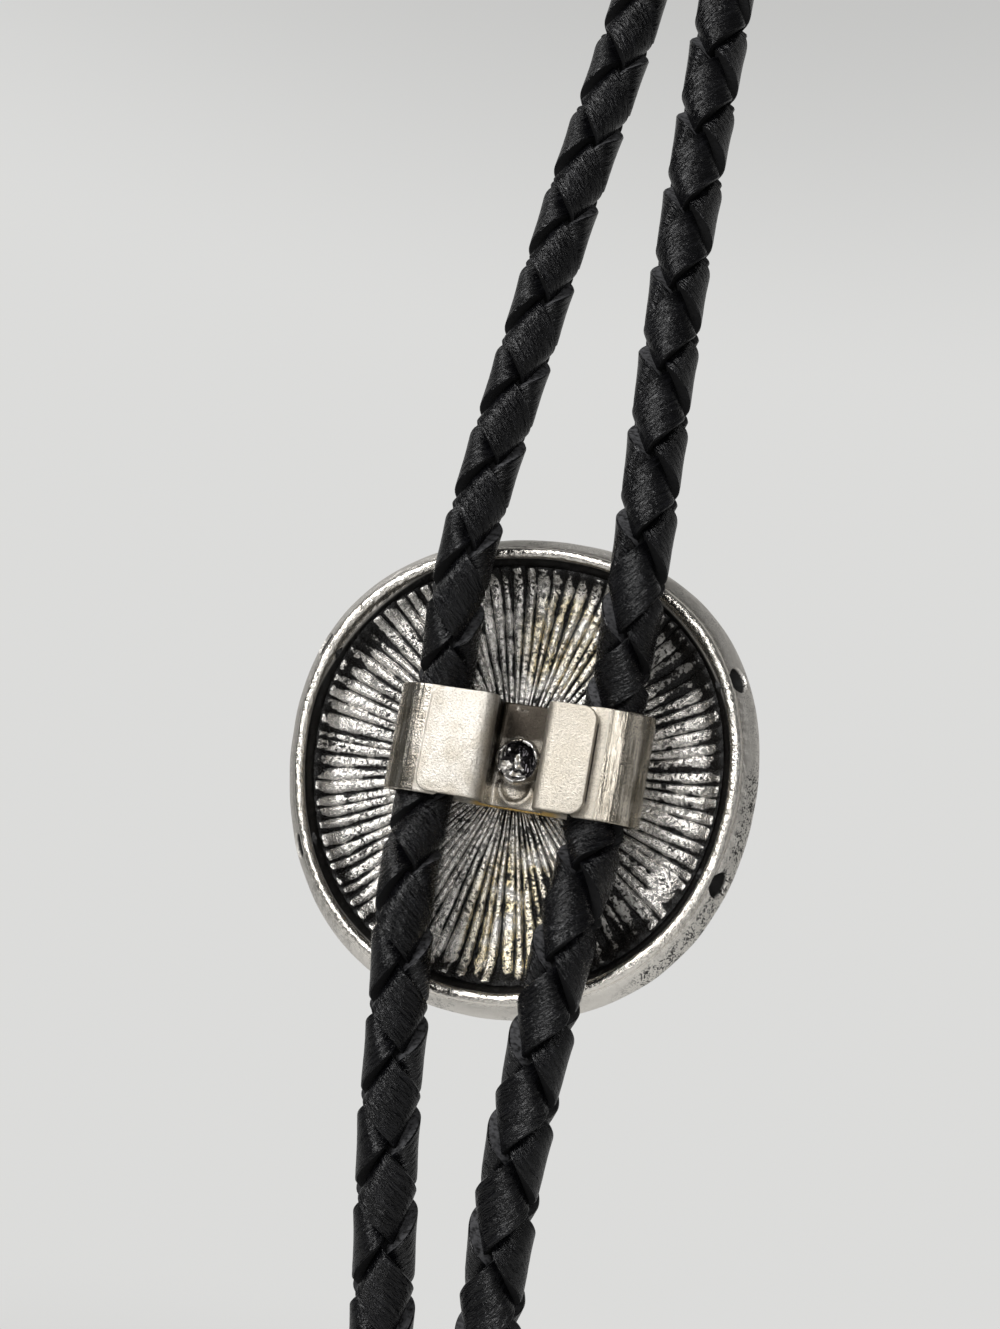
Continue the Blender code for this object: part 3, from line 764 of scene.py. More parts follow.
def lace(line, phase_at, turn_at, winding, number, fine):
    """Return one lace of a four-lace round braid: vertices, quads, cut sides, ends, map, and painted light
    on its cut sides.

    The phase grows by pi from one crossing to the next on the same side of the cord. A lace that
    winds one way keeps phase - angle, one that winds the other way keeps phase + angle, and a
    lace crosses over the next one and under the one after it.
    """
    phases = phase_at(line.run)
    own = number * math.pi
    over_at = own + (math.pi if winding > 0 else 0.0)
    other = crossing_rows(line, phases, own, over_at, fine)
    share, level = SECTION.T[:, None, :]
    slope = np.gradient(phases, line.run)[len(phases) // 2]
    wrap = math.sqrt(1 + (slope * CORD_RADIUS * 0.8) ** 2)
    wobble = 0.03 * np.sin(other * 0.37 + number * 2.1 + winding) + 0.02 * np.sin(other * 0.83 + number)
    half_width = LACE_WIDTH / 2 * (1 + wobble)
    rising = line.along(line.rising, np.interp((own + other) / 2, phases, line.run))
    upper = np.clip(np.sign(share) * rising, 0, 1)
    favoured = np.clip(winding * line.hand * rising, 0, 1)
    edge = np.clip(np.abs(share) - 0.3, 0, 0.55) / 0.55 * (level > 0)
    across = share - np.sign(share) * BEVEL * upper * favoured * edge
    mine = own + across * half_width * 2 * slope / wrap
    phase = (mine + other) / 2
    angle = (other - mine) / 2 * winding
    where = np.interp(phase, phases, line.run)
    keep = ((phase >= phases[0]) & (phase <= phases[-1])).any(axis=1)
    other, phase, angle, where = other[keep], phase[keep], angle[keep], where[keep]
    # A row past the end lies on the end's plane, with the angle that the lace has there
    angle = angle + (np.clip(phase, phases[0], phases[-1]) - phase) * winding
    rise = np.tanh(DIVE * np.cos(other - over_at)) / math.tanh(DIVE)
    swing = (LACE_THICKNESS + LACE_GAP) / 2
    middle_radius = CORD_RADIUS - LACE_THICKNESS / 2 - swing + swing * rise
    radius = middle_radius + level * LACE_THICKNESS + EDGE_LIFT * (share ** 2 - 0.75)
    places = line.surface(where, angle + turn_at(where), radius)
    count = len(SECTION)
    faces = grid_faces(len(other), count, close_columns=True)
    sides = np.isin(np.arange(len(faces)) % count, CUT_SIDES)
    start_cap = np.arange(count)[::-1]
    end_cap = start_cap[::-1] + (len(other) - 1) * count
    # Each lace reads its own stretch of the leather
    run = where if winding > 0 else where + 37.0
    laid = np.stack([share * LACE_WIDTH / 2 + 0 * where + 11.0 * number, run * wrap], axis=-1)
    # Painted light: a cut side facing up gets grey, most on the favoured laces; facing down it stays
    # black, as painted shade.
    rubbed_and_painted_light = (upper * (0.3 + 0.7 * favoured))[keep]
    return places.reshape(-1, 3), faces, sides, (start_cap, end_cap), laid.reshape(-1, 2), rubbed_and_painted_light.ravel()


def core(line):
    """Return a plain dark core that fills the middle of the braid, as a lace is returned."""
    sides = 8
    lengths = np.linspace(0.2, line.length - 0.2, max(4, int(line.length / 2.5)))
    around = np.linspace(0, 2 * math.pi, sides, endpoint=False)
    where, angle = np.meshgrid(lengths, around, indexing="ij")
    places = line.surface(where, angle, CORE_RADIUS).reshape(-1, 3)
    faces = grid_faces(len(lengths), sides, close_columns=True)
    caps = (np.arange(sides)[::-1], np.arange(sides) + len(places) - sides)
    laid = np.stack([angle, where], axis=-1).reshape(-1, 2)
    return places, faces, np.ones(len(faces), dtype=bool), caps, laid, np.zeros(len(places))


def braid(name, line, phase_at, turn_at, fine, finishes):
    """Return the mesh of four laces braided round a core along a line."""
    strands = [core(line)]
    for winding in (1, -1):
        for number in (0, 1):
            strands.append(lace(line, phase_at, turn_at, winding, number, fine))
    places, faces, cuts, laid, rubbed_and_painted_light = [], [], [], [], []
    start = 0
    for vertices, quads, sides, caps, flat, worn_and_painted_light in strands:
        places.append(vertices)
        laid.append(flat)
        rubbed_and_painted_light.append(worn_and_painted_light)
        faces += (quads + start).tolist() + [(cap + start).tolist() for cap in caps]
        cuts += sides.tolist() + [True] * len(caps)
        start += len(vertices)
    mesh = new_mesh(name, np.concatenate(places), faces, *finishes)
    mesh.polygons.foreach_set("material_index", np.array(cuts, dtype=np.int32))
    layer = mesh.uv_layers.new(name="lace")
    corners = np.zeros(len(mesh.loops), dtype=np.int32)
    mesh.loops.foreach_get("vertex_index", corners)
    layer.data.foreach_set("uv", np.concatenate(laid)[corners].astype(np.float32).ravel())
    store(mesh, "rubbed_and_painted_light", np.concatenate(rubbed_and_painted_light))
    outward(mesh, 38)
    return mesh


def neck_phases(line):
    """Return the neck cord's phase and turn, set by the crossings seen above the slide."""
    left = [line.at_height(z) for z in LEFT_CROSSINGS]
    right = [line.at_height(z, first=False) for z in RIGHT_CROSSINGS]
    hidden = round((right[0] - left[1]) / CROSSING_SPACING) + 0.5
    marks = left + right
    steps = np.cumsum([0.5, SEEN_STEPS, hidden, SEEN_STEPS])
    turns = [LEFT_NECK_TURN, LEFT_NECK_TURN, RIGHT_NECK_TURN, RIGHT_NECK_TURN]
    return spread(marks, steps * math.pi, line), lambda where: np.interp(where, marks, turns)


def tail_phases(line, heights, start, turn):
    """Return a tail's phase and turn from the heights of its first and last seen crossing."""
    marks = [line.at_height(heights[0]), line.at_height(heights[1], first=False)]
    steps = np.array([start, start + TAIL_STEPS])
    return spread(marks, steps * math.pi, line), lambda where: np.full(np.shape(where), turn)


def spread(marks, values, line):
    """Return a function through marks and values that runs on straight past both ends."""
    before = (values[1] - values[0]) / (marks[1] - marks[0])
    after = (values[-1] - values[-2]) / (marks[-1] - marks[-2])
    reach = 20.0
    marks = [marks[0] - reach, *marks, marks[-1] + line.length]
    values = [values[0] - before * reach, *values, values[-1] + after * line.length]
    return lambda where: np.interp(where, marks, values)


def make_cords(finishes):
    neck = Line(NECK_ROUTE, True)

    def near_clip(where):
        return min(where, neck.length - where) < CLOSE_LENGTH

    mesh = braid("neck_braid", neck, *neck_phases(neck), near_clip, finishes)
    piece("neck_braid", mesh, "neck_cord")
    tails = [("left", LEFT_TAIL_ROUTE, LEFT_TAIL_BRAID), ("right", RIGHT_TAIL_ROUTE, RIGHT_TAIL_BRAID)]
    for side, route, marks in tails:
        line = Line(route, False)
        name = side + "_tail_braid"
        mesh = braid(name, line, *tail_phases(line, *marks), lambda where: True, finishes)
        thing = piece(name, mesh, side + "_tail_cord")
        tuple(at(route[0]))
        in_place(line.points[::4]).tolist()


def lobes(bearing):
    """Return how far the rim stands out of round at a bearing."""
    three = THREE_LOBES * np.cos(3 * (bearing - THREE_LOBES_BEARING))
    four = FOUR_LOBES * np.cos(4 * (bearing - FOUR_LOBES_BEARING))
    return three + four


def out_of_round(radius, bearing):
    """Return the scale of a radius at a bearing: round at the middle, lobed at the rim."""
    weight = np.clip((radius / FLOOR_RADIUS - 0.5) * 2, 0, 1)
    return 1 + weight * lobes(bearing) / CONCHO_RADIUS


def arc(centre, radii, start, end, count):
    """Return points on an elliptical arc, angles in radians."""
    turn = np.linspace(start, end, count + 1)
    return [(centre[0] + radii[0] * math.cos(a), centre[1] + radii[1] * math.sin(a)) for a in turn]


def through(points, spacing):
    """Return evenly spaced points on a spline through (radius, height) points."""
    place, length = spline_through(points)
    return [tuple(p) for p in place(np.linspace(0, length, max(2, round(length / spacing) + 1)))]


def turned(profile, sides):
    """Return places and faces of a solid turned from (radius, height) points, with both ends."""
    bearing = np.linspace(0, 2 * math.pi, sides, endpoint=False)
    radius, height = np.array(profile).T[:, :, None]
    places = np.stack([radius * np.cos(bearing), radius * np.sin(bearing), height + 0 * bearing], axis=-1)
    faces = grid_faces(len(profile), sides, close_columns=True).tolist()
    last = (len(profile) - 1) * sides
    faces += [list(range(sides)), list(range(last, last + sides))[::-1]]
    return places.reshape(-1, 3), faces


def casting_profile():
    """Return the casting's outline from the floor's foot over the bead to the front's middle."""
    wall_top = LIP_RADIUS - LIP_BEAD
    lip_outside = LIP_RADIUS + LIP_BEAD
    bead = arc((LIP_RADIUS, -LIP_BEAD), (LIP_BEAD, LIP_BEAD), math.radians(175), math.radians(5), 14)
    wall = through([
        (FLOOR_RADIUS - 0.4, -FLOOR_DEPTH - 0.15),
        (FLOOR_RADIUS, -FLOOR_DEPTH),
        (FLOOR_RADIUS + 0.3 * (wall_top - FLOOR_RADIUS), -0.75 * FLOOR_DEPTH),
        (bead[0][0] - 0.03, bead[0][1] - 0.3),
    ], 0.22)
    flare = CONCHO_RADIUS - lip_outside
    fall = WIDEST_DEPTH - LIP_BEAD
    turn_in = EDGE_DEPTH - WIDEST_DEPTH
    edge = CONCHO_RADIUS - 0.8 * turn_in
    side = through([
        (lip_outside + 0.04 * flare, -LIP_BEAD - 0.12 * fall),
        (lip_outside + 0.62 * flare, -LIP_BEAD - 0.42 * fall),
        (CONCHO_RADIUS, -WIDEST_DEPTH),
        (CONCHO_RADIUS - 0.25 * turn_in, -WIDEST_DEPTH - 0.65 * turn_in),
        (edge + 0.2, -EDGE_DEPTH + 0.04),
    ], 0.075)
    field = edge - FRONT_BORDER
    border = through([
        (edge - 0.3, -EDGE_DEPTH),
        (field + 0.25, -EDGE_DEPTH),
        (field, -EDGE_DEPTH + 0.05),
    ], 0.4)
    step = [
        (field - FRONT_STEP * 0.7, -EDGE_DEPTH + FRONT_STEP),
        (field - FRONT_STEP - 0.3, -EDGE_DEPTH + FRONT_STEP * 0.9),
    ]
    shares = np.linspace(0.94, 0.0, 26)[:-1]
    dome = [(field * share, -EDGE_DEPTH - DOME_RISE * (1 - share ** 2)) for share in shares]
    return np.array(wall + bead + side + border + step + dome)


def angle_past(bearing, centre):
    """Return how far a bearing lies past another, between minus and plus half a turn."""
    return (bearing - centre + math.pi) % (2 * math.pi) - math.pi


def casting_bearings():
    """Return the bearings of the casting's columns, closer together at the side holes."""
    even = np.linspace(0, 2 * math.pi, 560, endpoint=False)
    reach = HOLE_LENGTH * 0.75 / CONCHO_RADIUS
    near = [np.linspace(centre - reach, centre + reach, 52) for centre in HOLE_BEARINGS]
    clear = np.all([np.abs(angle_past(even, centre)) > reach for centre in HOLE_BEARINGS], axis=0)
    return np.sort(np.concatenate([even[clear], *near]))


def make_casting(finish):
    """Make the cast concho apart from its ribs: bead, flared side with oval holes, plain front."""
    profile = casting_profile()
    bearing = casting_bearings()
    radius, height = profile[:, 0:1], profile[:, 1:2]
    grown = radius * out_of_round(radius, bearing[None, :])
    outer = (radius > LIP_RADIUS + LIP_BEAD * 0.9) & (height < -LIP_BEAD * 0.8)
    pushed = np.zeros_like(grown)
    for centre in HOLE_BEARINGS:
        along = angle_past(bearing, centre) * grown
        oval = np.hypot(along / (HOLE_LENGTH / 2), (height + HOLE_DEPTH) / (HOLE_HEIGHT / 2))
        pushed = np.maximum(pushed, outer * HOLE_SUNK * np.clip((1.06 - oval) / 0.12, 0, 1))
    grown = grown - pushed
    places = np.stack([grown * np.cos(bearing), height + 0 * grown, grown * np.sin(bearing)], axis=-1)
    places = hand_worked(places.reshape(-1, 3), *HAND_WORK)
    count = len(bearing)
    faces = grid_faces(len(profile), count, close_columns=True).tolist()
    middle = len(places)
    last = middle - count
    faces += [(last + j, last + (j + 1) % count, middle) for j in range(count)]
    peak = (0, -EDGE_DEPTH - DOME_RISE, 0)
    mesh = new_mesh("concho_casting", np.concatenate([places, [peak]]), faces, finish)
    # This paints the inside of the side holes black, as painted shade.
    store(mesh, "painted_hole_shade", np.append(pushed / HOLE_SUNK, 0.0))
    mesh.flip_normals()
    mesh.shade_smooth()
    mesh.set_sharp_from_angle(angle=math.radians(50))
    piece("concho_casting", mesh, "concho")


def hand_worked(places, amount, frequency):
    """Move places a little, as a casting that was finished by hand."""
    noise.seed_set(HAND_SEED)
    moved = np.array(places)
    for i, place in enumerate(places):
        moved[i] += amount * np.array(noise.noise_vector(Vector(place) * frequency))
    return moved


def rib_crest(tree, size, share, bearing, cosine, sine, flat_radius):
    """Return how high the ribs stand, 0 in a groove to 1 on a crest, without and with grain."""
    # Noise on a cylinder has no seam: the bearing goes round it and the radius runs along it
    streaks = tree.combined(cosine * 14.0 + size["Seed"], sine * 14.0, share * 0.9)
    wander = tree.noise(streaks, 1.0, 2.0, 0.5) - 0.5
    count = bearing * size["Ribs"] / (2 * math.pi) + wander * 1.1
    rib_number = count.maths("FLOOR")
    number = {"W": rib_number + size["Seed"]}
    chance = tree.add("ShaderNodeTexWhiteNoise", {"noise_dimensions": "1D"}, number)
    leaning = (count - rib_number) ** (0.6 + chance * 0.7)
    ridge = 1.0 - (leaning * 2.0 - 1.0).maths("ABSOLUTE") ** (2.0 + chance * 2.2)
    worn_and_painted_light = tree.noise(tree.combined(rib_number * 0.71, share * 4.5, size["Seed"]), 1.0, 2.0, 0.5)
    cuts = tree.combined(cosine * 9.0, sine * 9.0 + size["Seed"], share * 7.0)
    hand = tree.noise(cuts, 1.0, 3.0, 0.6)
    grain = tree.noise(tree.combined(cosine * 40.0, sine * 40.0, share * 26.0), 1.0, 3.0, 0.6)
    crest = ridge * (0.8 + 0.25 * chance) * (0.72 + 0.28 * hand + 0.28 * worn_and_painted_light)
    crest = crest + (0.72 - crest) * hand.ramp(0.62, 0.72) * 0.15
    away = hypotenuse(flat_radius * cosine - WORN_PLACE[0], flat_radius * sine - WORN_PLACE[1])
    flat = away.ramp(WORN_RADIUS, WORN_RADIUS * 0.6)
    ends = share.ramp(1.0, 0.985) * share.ramp(0.0, 0.12)
    crest = crest * ends * (1.0 - flat) + flat * 0.85
    return crest, crest + (grain - 0.5) * 0.28


def rib_tree(finish):
    """Return a Geometry Nodes group that turns a grid into the sunburst floor, and its inputs."""
    group = bpy.data.node_groups.new("sunburst_ribs", "GeometryNodeTree")
    sizes = {
        "Ribs": RIB_COUNT,
        "Rib Depth": RIB_DEPTH,
        "Seat Radius": SEAT_RADIUS * 0.55,
        "Floor Radius": FLOOR_RADIUS + 0.28,
        "Seat Depth": SEAT_DEPTH,
        "Floor Depth": FLOOR_DEPTH,
        "Seed": 4.0,
    }
    group.interface.new_socket("Geometry", in_out="INPUT", socket_type="NodeSocketGeometry")
    for name in sizes:
        group.interface.new_socket(name, in_out="INPUT", socket_type="NodeSocketFloat")
    group.interface.new_socket("Geometry", in_out="OUTPUT", socket_type="NodeSocketGeometry")
    tree = Tree(group)
    entry = group.nodes.new("NodeGroupInput")
    size = {name: Value(tree, entry.outputs[name]) for name in sizes}
    counts = {"Vertices X": RIB_COUNT * RIB_COLUMNS + 1, "Vertices Y": FLOOR_ROWS}
    grid = tree.add("GeometryNodeMeshGrid", {}, counts)
    u, v, _ = tree.parts(tree.add("GeometryNodeInputPosition"))
    share = v + 0.5
    bearing = (u + 0.5) * (2 * math.pi)
    cosine, sine = bearing.maths("COSINE"), bearing.maths("SINE")
    flat_radius = size["Seat Radius"] + share * (size["Floor Radius"] - size["Seat Radius"])
    crest, lift = rib_crest(tree, size, share, bearing, cosine, sine, flat_radius)
    climb = flat_radius.ramp(FLOOR_RADIUS - 1.6, FLOOR_RADIUS + 0.9) * 1.3
    rise = floor_rise(flat_radius) * (size["Seat Depth"] - size["Floor Depth"])
    rib_depth = size["Rib Depth"] * (flat_radius / FLOOR_RADIUS + 0.25).maths("MINIMUM", 1.0)
    top = rise - size["Seat Depth"] + climb + (lift - 1.0) * rib_depth
    radius = flat_radius * lobe_scale(flat_radius, bearing)
    place = tree.combined(
        (radius * cosine + SLIDE[0]) * MM,
        (top + SLIDE[1]) * MM,
        (radius * sine + SLIDE[2]) * MM,
    )
    stored = tree.add(
        "GeometryNodeStoreNamedAttribute",
        {"data_type": "FLOAT", "domain": "POINT"},
        {"Geometry": grid, "Name": "crest", "Value": crest},
    )
    placed = tree.add("GeometryNodeSetPosition", {}, {"Geometry": stored, "Position": place})
    closed = tree.add("GeometryNodeMergeByDistance", {}, {"Geometry": placed, "Distance": 0.000001})
    real = tree.add("GeometryNodeRealizeInstances", {}, {"Geometry": closed})
    dressed = tree.add("GeometryNodeSetMaterial", {}, {"Geometry": real, "Material": finish})
    leave = group.nodes.new("NodeGroupOutput")
    tree.links.new(dressed.socket, leave.inputs[0])
    return group, sizes


def floor_rise(radius):
    """Return how far the floor has risen between the seat and the wall, from 0 to 1."""
    share = (radius - SEAT_RADIUS) / (FLOOR_RADIUS - SEAT_RADIUS)
    return share.maths("MAXIMUM", 0.0) ** FLOOR_CURVE


def lobe_scale(radius, bearing):
    """Return the floor's scale out of round, as the rim has it."""
    weight = ((radius / FLOOR_RADIUS - 0.5) * 2.0).maths("MINIMUM", 1.0).maths("MAXIMUM", 0.0)
    three = ((bearing - THREE_LOBES_BEARING) * 3.0).maths("COSINE") * THREE_LOBES
    four = ((bearing - FOUR_LOBES_BEARING) * 4.0).maths("COSINE") * FOUR_LOBES
    return 1.0 + weight * (three + four) / CONCHO_RADIUS


def make_ribs(finish):
    """Make the ribbed floor with Geometry Nodes and keep it as a plain mesh."""
    group, sizes = rib_tree(finish)
    mesh = bpy.data.meshes.new("concho_ribs")
    carrier = bpy.data.objects.new("rib_carrier", mesh)
    bpy.context.scene.collection.objects.link(carrier)
    modifier = carrier.modifiers.new("ribs", "NODES")
    modifier.node_group = group
    for item in group.interface.items_tree:
        if item.in_out == "INPUT" and item.name in sizes:
            modifier[item.identifier] = float(sizes[item.name])
    ribs = evaluated(carrier)
    ribs.name = "concho_ribs"
    if ribs.polygons[0].normal.y < 0:
        ribs.flip_normals()
    ribs.shade_smooth()
    piece("concho_ribs", ribs, None)


class SheetPath:
    """The middle line of a bent sheet in X and Y, read by the length along it."""

    def __init__(self, points):
        points = np.array(points)
        steps = np.linalg.norm(np.diff(points, axis=0), axis=1)
        points = points[np.concatenate([[True], steps > 1e-6])]
        self.run = np.concatenate([[0.0], np.cumsum(np.linalg.norm(np.diff(points, axis=0), axis=1))])
        self.points = points
        along = np.gradient(points, self.run, axis=0)
        along /= np.linalg.norm(along, axis=1)[:, None]
        self.normals = np.stack([-along[:, 1], along[:, 0]], axis=-1)

    def at(self, where, off):
        """Return X and Y at some lengths, stepped off the middle line to one side."""
        x, y = (self.points + off * self.normals).T
        return np.interp(where, self.run, x), np.interp(where, self.run, y)


def sheet_layer(sheet, height, corner, inset, off):
    """Return one layer of a sheet with round corners, its outline drawn in by the inset."""
    length = sheet.run[-1]
    turn = np.linspace(0, math.pi / 2, 9)
    corner_run = corner - (corner - inset) * np.cos(turn)
    corner_half = height / 2 - corner + (corner - inset) * np.sin(turn)
    middle = np.linspace(corner, length - corner, max(8, round((length - 2 * corner) / SHEET_SPACING)) + 1)
    where = np.concatenate([corner_run[:-1], middle, length - corner_run[-2::-1]])
    flat = np.full(len(middle), height / 2 - inset)
    half = np.concatenate([corner_half[:-1], flat, corner_half[-2::-1]])
    share = np.linspace(-1, 1, SHEET_ROWS)
    x, y = sheet.at(where, off)
    level = half[:, None] * share[None, :]
    return np.stack([x[:, None] + 0 * level, y[:, None] + 0 * level, level], axis=-1)


def make_strip(name, path, height, corner, finish, replaced, bend):
    """Make a strip of sheet metal with rounded corners and rounded edges."""
    sheet = SheetPath(path)
    layers = []
    for turn in np.linspace(math.pi / 2, -math.pi / 2, 7):
        off = math.copysign(SHEET / 2 - SHEET_EDGE, turn) if abs(turn) > 0.01 else 0.0
        inset = SHEET_EDGE * (1 - math.cos(turn))
        layers.append(sheet_layer(sheet, height, corner, inset, off + SHEET_EDGE * math.sin(turn)))
    columns, rows = layers[0].shape[:2]
    places = bend(np.concatenate([layer.reshape(-1, 3) for layer in layers]))
    size = rows * columns
    face = grid_faces(columns, rows)
    faces = face.tolist() + (face[:, ::-1] + (len(layers) - 1) * size).tolist()
    rim = [j * rows for j in range(columns)] + [(columns - 1) * rows + i for i in range(1, rows)]
    rim += [j * rows + rows - 1 for j in range(columns - 2, -1, -1)] + list(range(rows - 2, 0, -1))
    for layer in range(len(layers) - 1):
        here, after = layer * size, (layer + 1) * size
        for a, b in zip(rim, rim[1:] + rim[:1]):
            faces.append([here + a, here + b, after + b, after + a])
    mesh = new_mesh(name, places + (CLIP_X, 0, CLIP_Z), faces, finish)
    outward(mesh)
    piece(name, mesh, replaced)


def sprung(places):
    """Bend the back strip a little, as it was pressed by hand."""
    places[:, 1] += 0.04 * np.sin(0.5 * places[:, 2] + 0.3 * places[:, 0])
    return places


def dimpled(places):
    """Bend the flap strip a little, and press the dish and its ring in the pad."""
    x, y, z = places.T
    on_pad = np.clip((2.1 - np.abs(x)) / 0.5, 0, 1) * np.clip(1.5 - np.abs(y - PAD_Y) / 0.7, 0, 1)
    low = np.clip((DISH_TOP - z) / 0.5, 0, 1)
    away = np.hypot(x, z - DISH_Z)
    dish = DISH_DEPTH * np.clip(1 - away / DISH_RADIUS, 0, 1)
    ring = RING_HEIGHT * np.exp(-((away - RING_RADIUS) / RING_WIDTH) ** 2)
    places[:, 1] += 0.05 * np.sin(0.45 * z + 0.5 * x) + on_pad * low * (ring - dish)
    return places


def flap_side(reach, lean):
    """Return one side of the flap strip from the pad's bend up the wall and out over the cord."""
    wall_x = TROUGH_HALF_WIDTH + SHEET / 2
    pad = arc((wall_x - PAD_BEND, PAD_Y + PAD_BEND), (PAD_BEND, PAD_BEND), -math.pi / 2, 0, 12)
    bend = (wall_x + lean + FLAP_BEND, FLAP_Y - FLAP_BEND)
    flap = arc(bend, (FLAP_BEND, FLAP_BEND), math.pi, math.pi / 2, 14)
    start = flap[-1][0]
    return pad + flap + [(start + share * (reach - start), FLAP_Y) for share in (0.25, 0.5, 0.75, 1.0)]


def make_clip(finish):
    """Make both strips of the clip."""
    half = CORD_SPACING / 2
    curl = arc((half, CLIP_CORD_Y), (CURL_HALF_WIDTH, CURL_HALF_DEPTH), CURL_END_ANGLE, -math.pi / 2, 54)
    bottom = [(half * share, BACK_STRIP_Y) for share in np.linspace(0.9, -0.9, 19)]
    path = curl + bottom + [(-x, y) for x, y in curl[::-1]]
    make_strip("clip_back_sheet", path, BACK_STRIP_HEIGHT, CURL_CORNER, finish, "clip_back_strip", sprung)
    left = flap_side(LEFT_FLAP_REACH, -TROUGH_LEAN)[::-1]
    right = [(-x, y) for x, y in flap_side(RIGHT_FLAP_REACH, TROUGH_LEAN)]
    pad_half = TROUGH_HALF_WIDTH + SHEET / 2 - PAD_BEND
    path = left + [(share * pad_half, PAD_Y) for share in (0.6, 0.2, -0.2, -0.6)] + right
    make_strip("clip_flap_sheet", path, FLAP_STRIP_HEIGHT, FLAP_CORNER, finish, "clip_flaps", dimpled)


def make_rivet(finish):
    """Make the rivet's lumpy crater head, down to the pad."""
    under = PAD_Y + SHEET / 2 + 0.02
    top = PAD_Y + SHEET / 2 + GAP + RIVET_HEAD_HEIGHT
    rim = RIVET_CRATER_RADIUS + 0.7 * (RIVET_HEAD_RADIUS - RIVET_CRATER_RADIUS)
    outline = through([
        (0.05, top - 1.25 * RIVET_CRATER_DEPTH),
        (0.75 * RIVET_CRATER_RADIUS, top - 1.2 * RIVET_CRATER_DEPTH),
        (1.15 * RIVET_CRATER_RADIUS, top - 0.75 * RIVET_CRATER_DEPTH),
        (rim, top),
        (RIVET_HEAD_RADIUS + 0.08, top - 0.35 * RIVET_HEAD_HEIGHT),
        (RIVET_HEAD_RADIUS, under),
    ], 0.07)
    places, faces = turned(outline, 96)
    places = places[:, (0, 2, 1)]
    for place in places:
        lump = noise.noise(Vector((place[0], 3.0, place[2])))
        inner = max(0.0, 1.0 - math.hypot(place[0], place[2]) / RIVET_HEAD_RADIUS)
        place[1] += lump * (0.25 + 0.9 * inner) * (place[1] > under + 0.1)
    mesh = new_mesh("rivet_head", places + (CLIP_X, 0, RIVET_Z), faces, finish)
    outward(mesh)
    piece("rivet_head", mesh, "rivet")


def make_tips(finish):
    """Make both turned tips over the tails' ends."""
    socket = CORD_RADIUS + GAP
    body = TIP_MOUTH_RADIUS - 0.25
    keys = [
        (0.01, -TIP_SOCKET_DEPTH),
        (socket, -TIP_SOCKET_DEPTH),
        (socket, -0.2),
        (socket + 0.1, -0.02),
        (TIP_MOUTH_RADIUS - 0.2, 0.0),
        (TIP_MOUTH_RADIUS - 0.06, -0.06),
        (TIP_MOUTH_RADIUS, -0.2),
        (TIP_MOUTH_RADIUS, -0.055 * TIP_LENGTH),
        (TIP_MOUTH_RADIUS - 0.08, -0.062 * TIP_LENGTH),
        (body, -0.08 * TIP_LENGTH),
    ]
    taper = through([
        (body, -0.085 * TIP_LENGTH),
        (body, -0.36 * TIP_LENGTH),
        (TIP_END_RADIUS + 0.55 * (body - TIP_END_RADIUS), -0.68 * TIP_LENGTH),
        (TIP_END_RADIUS, -TIP_LENGTH + 0.9 * TIP_END_RADIUS),
    ], 0.6)
    end_depth = 0.9 * TIP_END_RADIUS
    end = arc((0.0, -TIP_LENGTH + end_depth), (TIP_END_RADIUS, end_depth), 0.0, -math.pi / 2, 10)
    places, faces = turned(keys + taper + end[1:-1] + [(0.01, -TIP_LENGTH)], 64)
    for side, route in (("left", LEFT_TAIL_ROUTE), ("right", RIGHT_TAIL_ROUTE)):
        mouth = np.array(route[-1]) + (0, 0, TIP_SOCKET_DEPTH - JOINT_GAP)
        name = side + "_tip_turned"
        mesh = new_mesh(name, places + mouth, faces, finish)
        outward(mesh, 40)
        piece(name, mesh, side + "_tip")


def make_camera():
    """Put the camera where the photo was taken from."""
    camera = bpy.data.cameras.new("camera")
    camera.sensor_width = SENSOR
    camera.lens = SENSOR * FOCAL_PIXELS / PICTURE_HEIGHT
    camera.clip_start = 0.01
    camera.clip_end = 20.0
    thing = bpy.data.objects.new("camera", camera)
    bpy.context.scene.collection.objects.link(thing)
    aim = Vector(LOOK).to_track_quat("-Z", "Y").to_matrix().to_4x4()
    thing.matrix_world = Matrix.Translation(at(EYE)) @ aim @ Matrix.Rotation(-ROLL, 4, "Z")
    bpy.context.scene.camera = thing


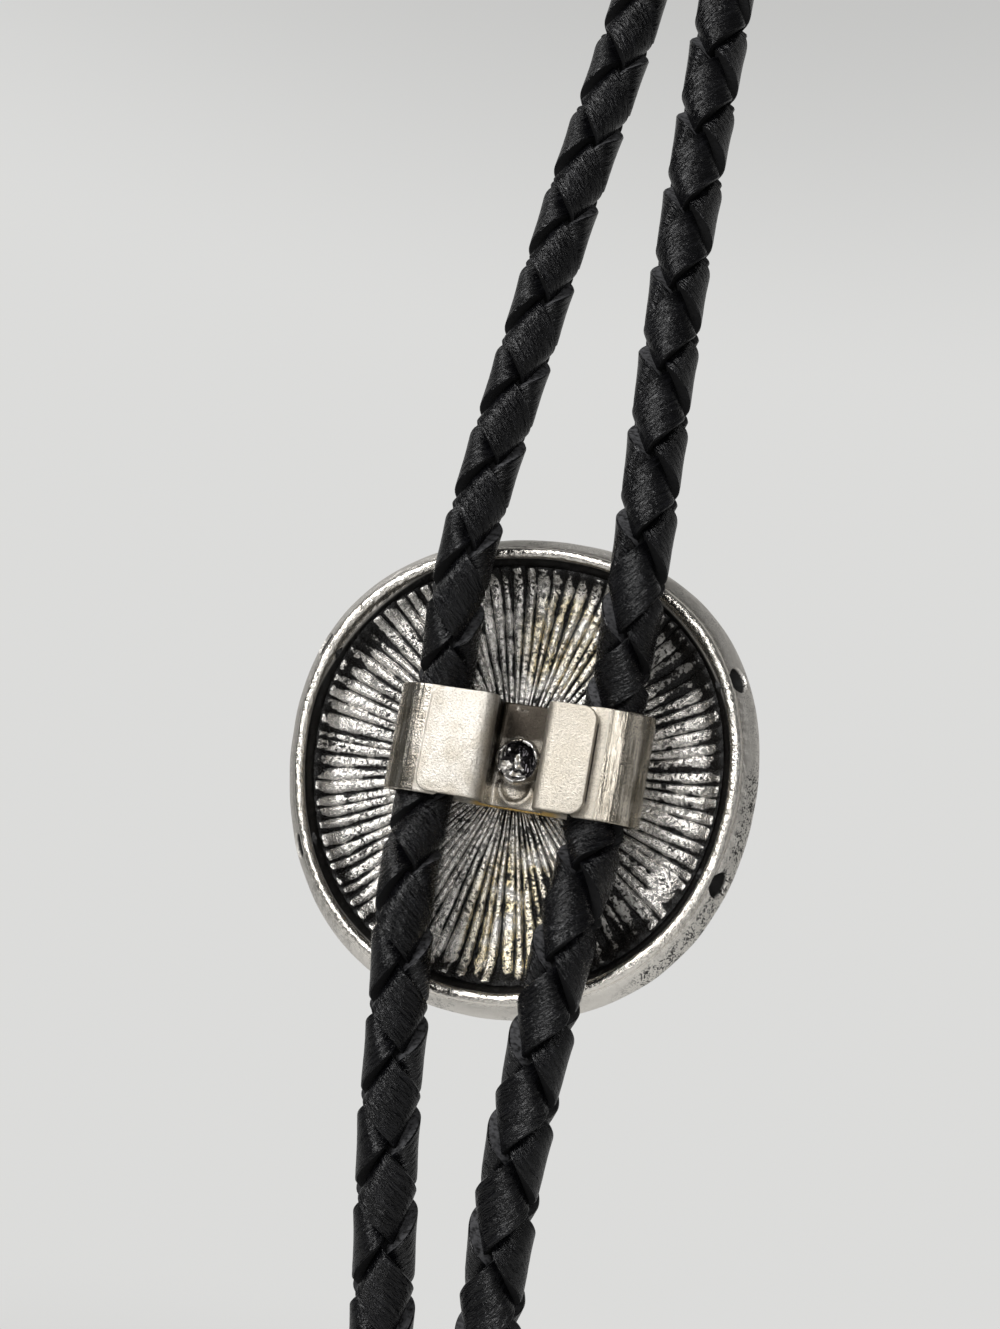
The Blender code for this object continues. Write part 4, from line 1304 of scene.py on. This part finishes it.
def make_floor():
    """Make a plain pale floor below the tips, faintly bright by itself and fading out."""
    finish = Finish(
        "pale_floor",
        Base_Color=(0.3, 0.3, 0.297, 1),
        Roughness=0.9,
        Specular_IOR_Level=0.1,
        Emission_Color=PALE,
        Emission_Strength=0.47,
    )
    x, y, _ = finish.parts(finish.add("ShaderNodeTexCoord", output="Object"))
    clear = finish.add("ShaderNodeBsdfTransparent")
    faded = finish.add("ShaderNodeMixShader", {}, {0: hypotenuse(x, y).ramp(*FLOOR_FADE)})
    node = faded.socket.node
    finish.links.new(finish.shader.outputs[0], node.inputs[1])
    finish.links.new(clear.socket, node.inputs[2])
    finish.links.new(faded.socket, finish.nodes["Material Output"].inputs["Surface"])
    work = bmesh.new()
    bmesh.ops.create_circle(work, cap_ends=True, segments=96, radius=2.0)
    mesh = bpy.data.meshes.new("floor")
    work.to_mesh(mesh)
    work.free()
    mesh.materials.append(finish.material)
    floor = bpy.data.objects.new("floor", mesh)
    floor.location = (0, 0, CAD_BOX[0][2] - FLOOR_DROP)
    bpy.context.scene.collection.objects.link(floor)


def make_light():
    """Light the tie softly, from a pale room and large lamps."""
    world = bpy.data.worlds.new("pale_room")
    bpy.context.scene.world = world
    world.use_nodes = True
    tree = Tree(world.node_tree)
    _, y, z = tree.parts(tree.add("ShaderNodeTexCoord", output="Generated"))
    # The camera sees an even backdrop; metal and leather mirror a room that is darker in front
    backdrop = 0.715 - z.ramp(0.38, 0.72) * 0.2
    surroundings = 0.5 - y.ramp(-0.8, 0.1) * 0.41
    level = surroundings + tree.add("ShaderNodeLightPath") * (backdrop - surroundings)
    background = tree.nodes["Background"]
    tree.links.new(level.socket, background.inputs["Strength"])
    background.inputs["Color"].default_value = PALE
    for name, (place, size, power) in LAMPS.items():
        lamp(name, place, size, power)
    bpy.context.scene.view_settings.view_transform = "Standard"


def lamp(name, place, size, power):
    """Put a rectangular soft lamp at a place, turned to the slide."""
    light = bpy.data.lights.new(name, "AREA")
    light.shape = "RECTANGLE"
    light.size, light.size_y = size[0] * MM, size[1] * MM
    light.energy = power
    thing = bpy.data.objects.new(name, light)
    bpy.context.scene.collection.objects.link(thing)
    turn = (-Vector(place)).to_track_quat("-Z", "Y").to_matrix().to_4x4()
    thing.matrix_world = Matrix.Translation(at(place)) @ turn


def main():
    """Dress the tie and set the stage."""
    make_camera()
    make_tips(tip_finish())
    make_cords((leather_finish(), cut_leather_finish()))
    make_casting(casting_finish())
    make_ribs(rib_finish())
    make_clip(sheet_finish())
    make_rivet(rivet_finish())
    make_floor()
    make_light()


main()
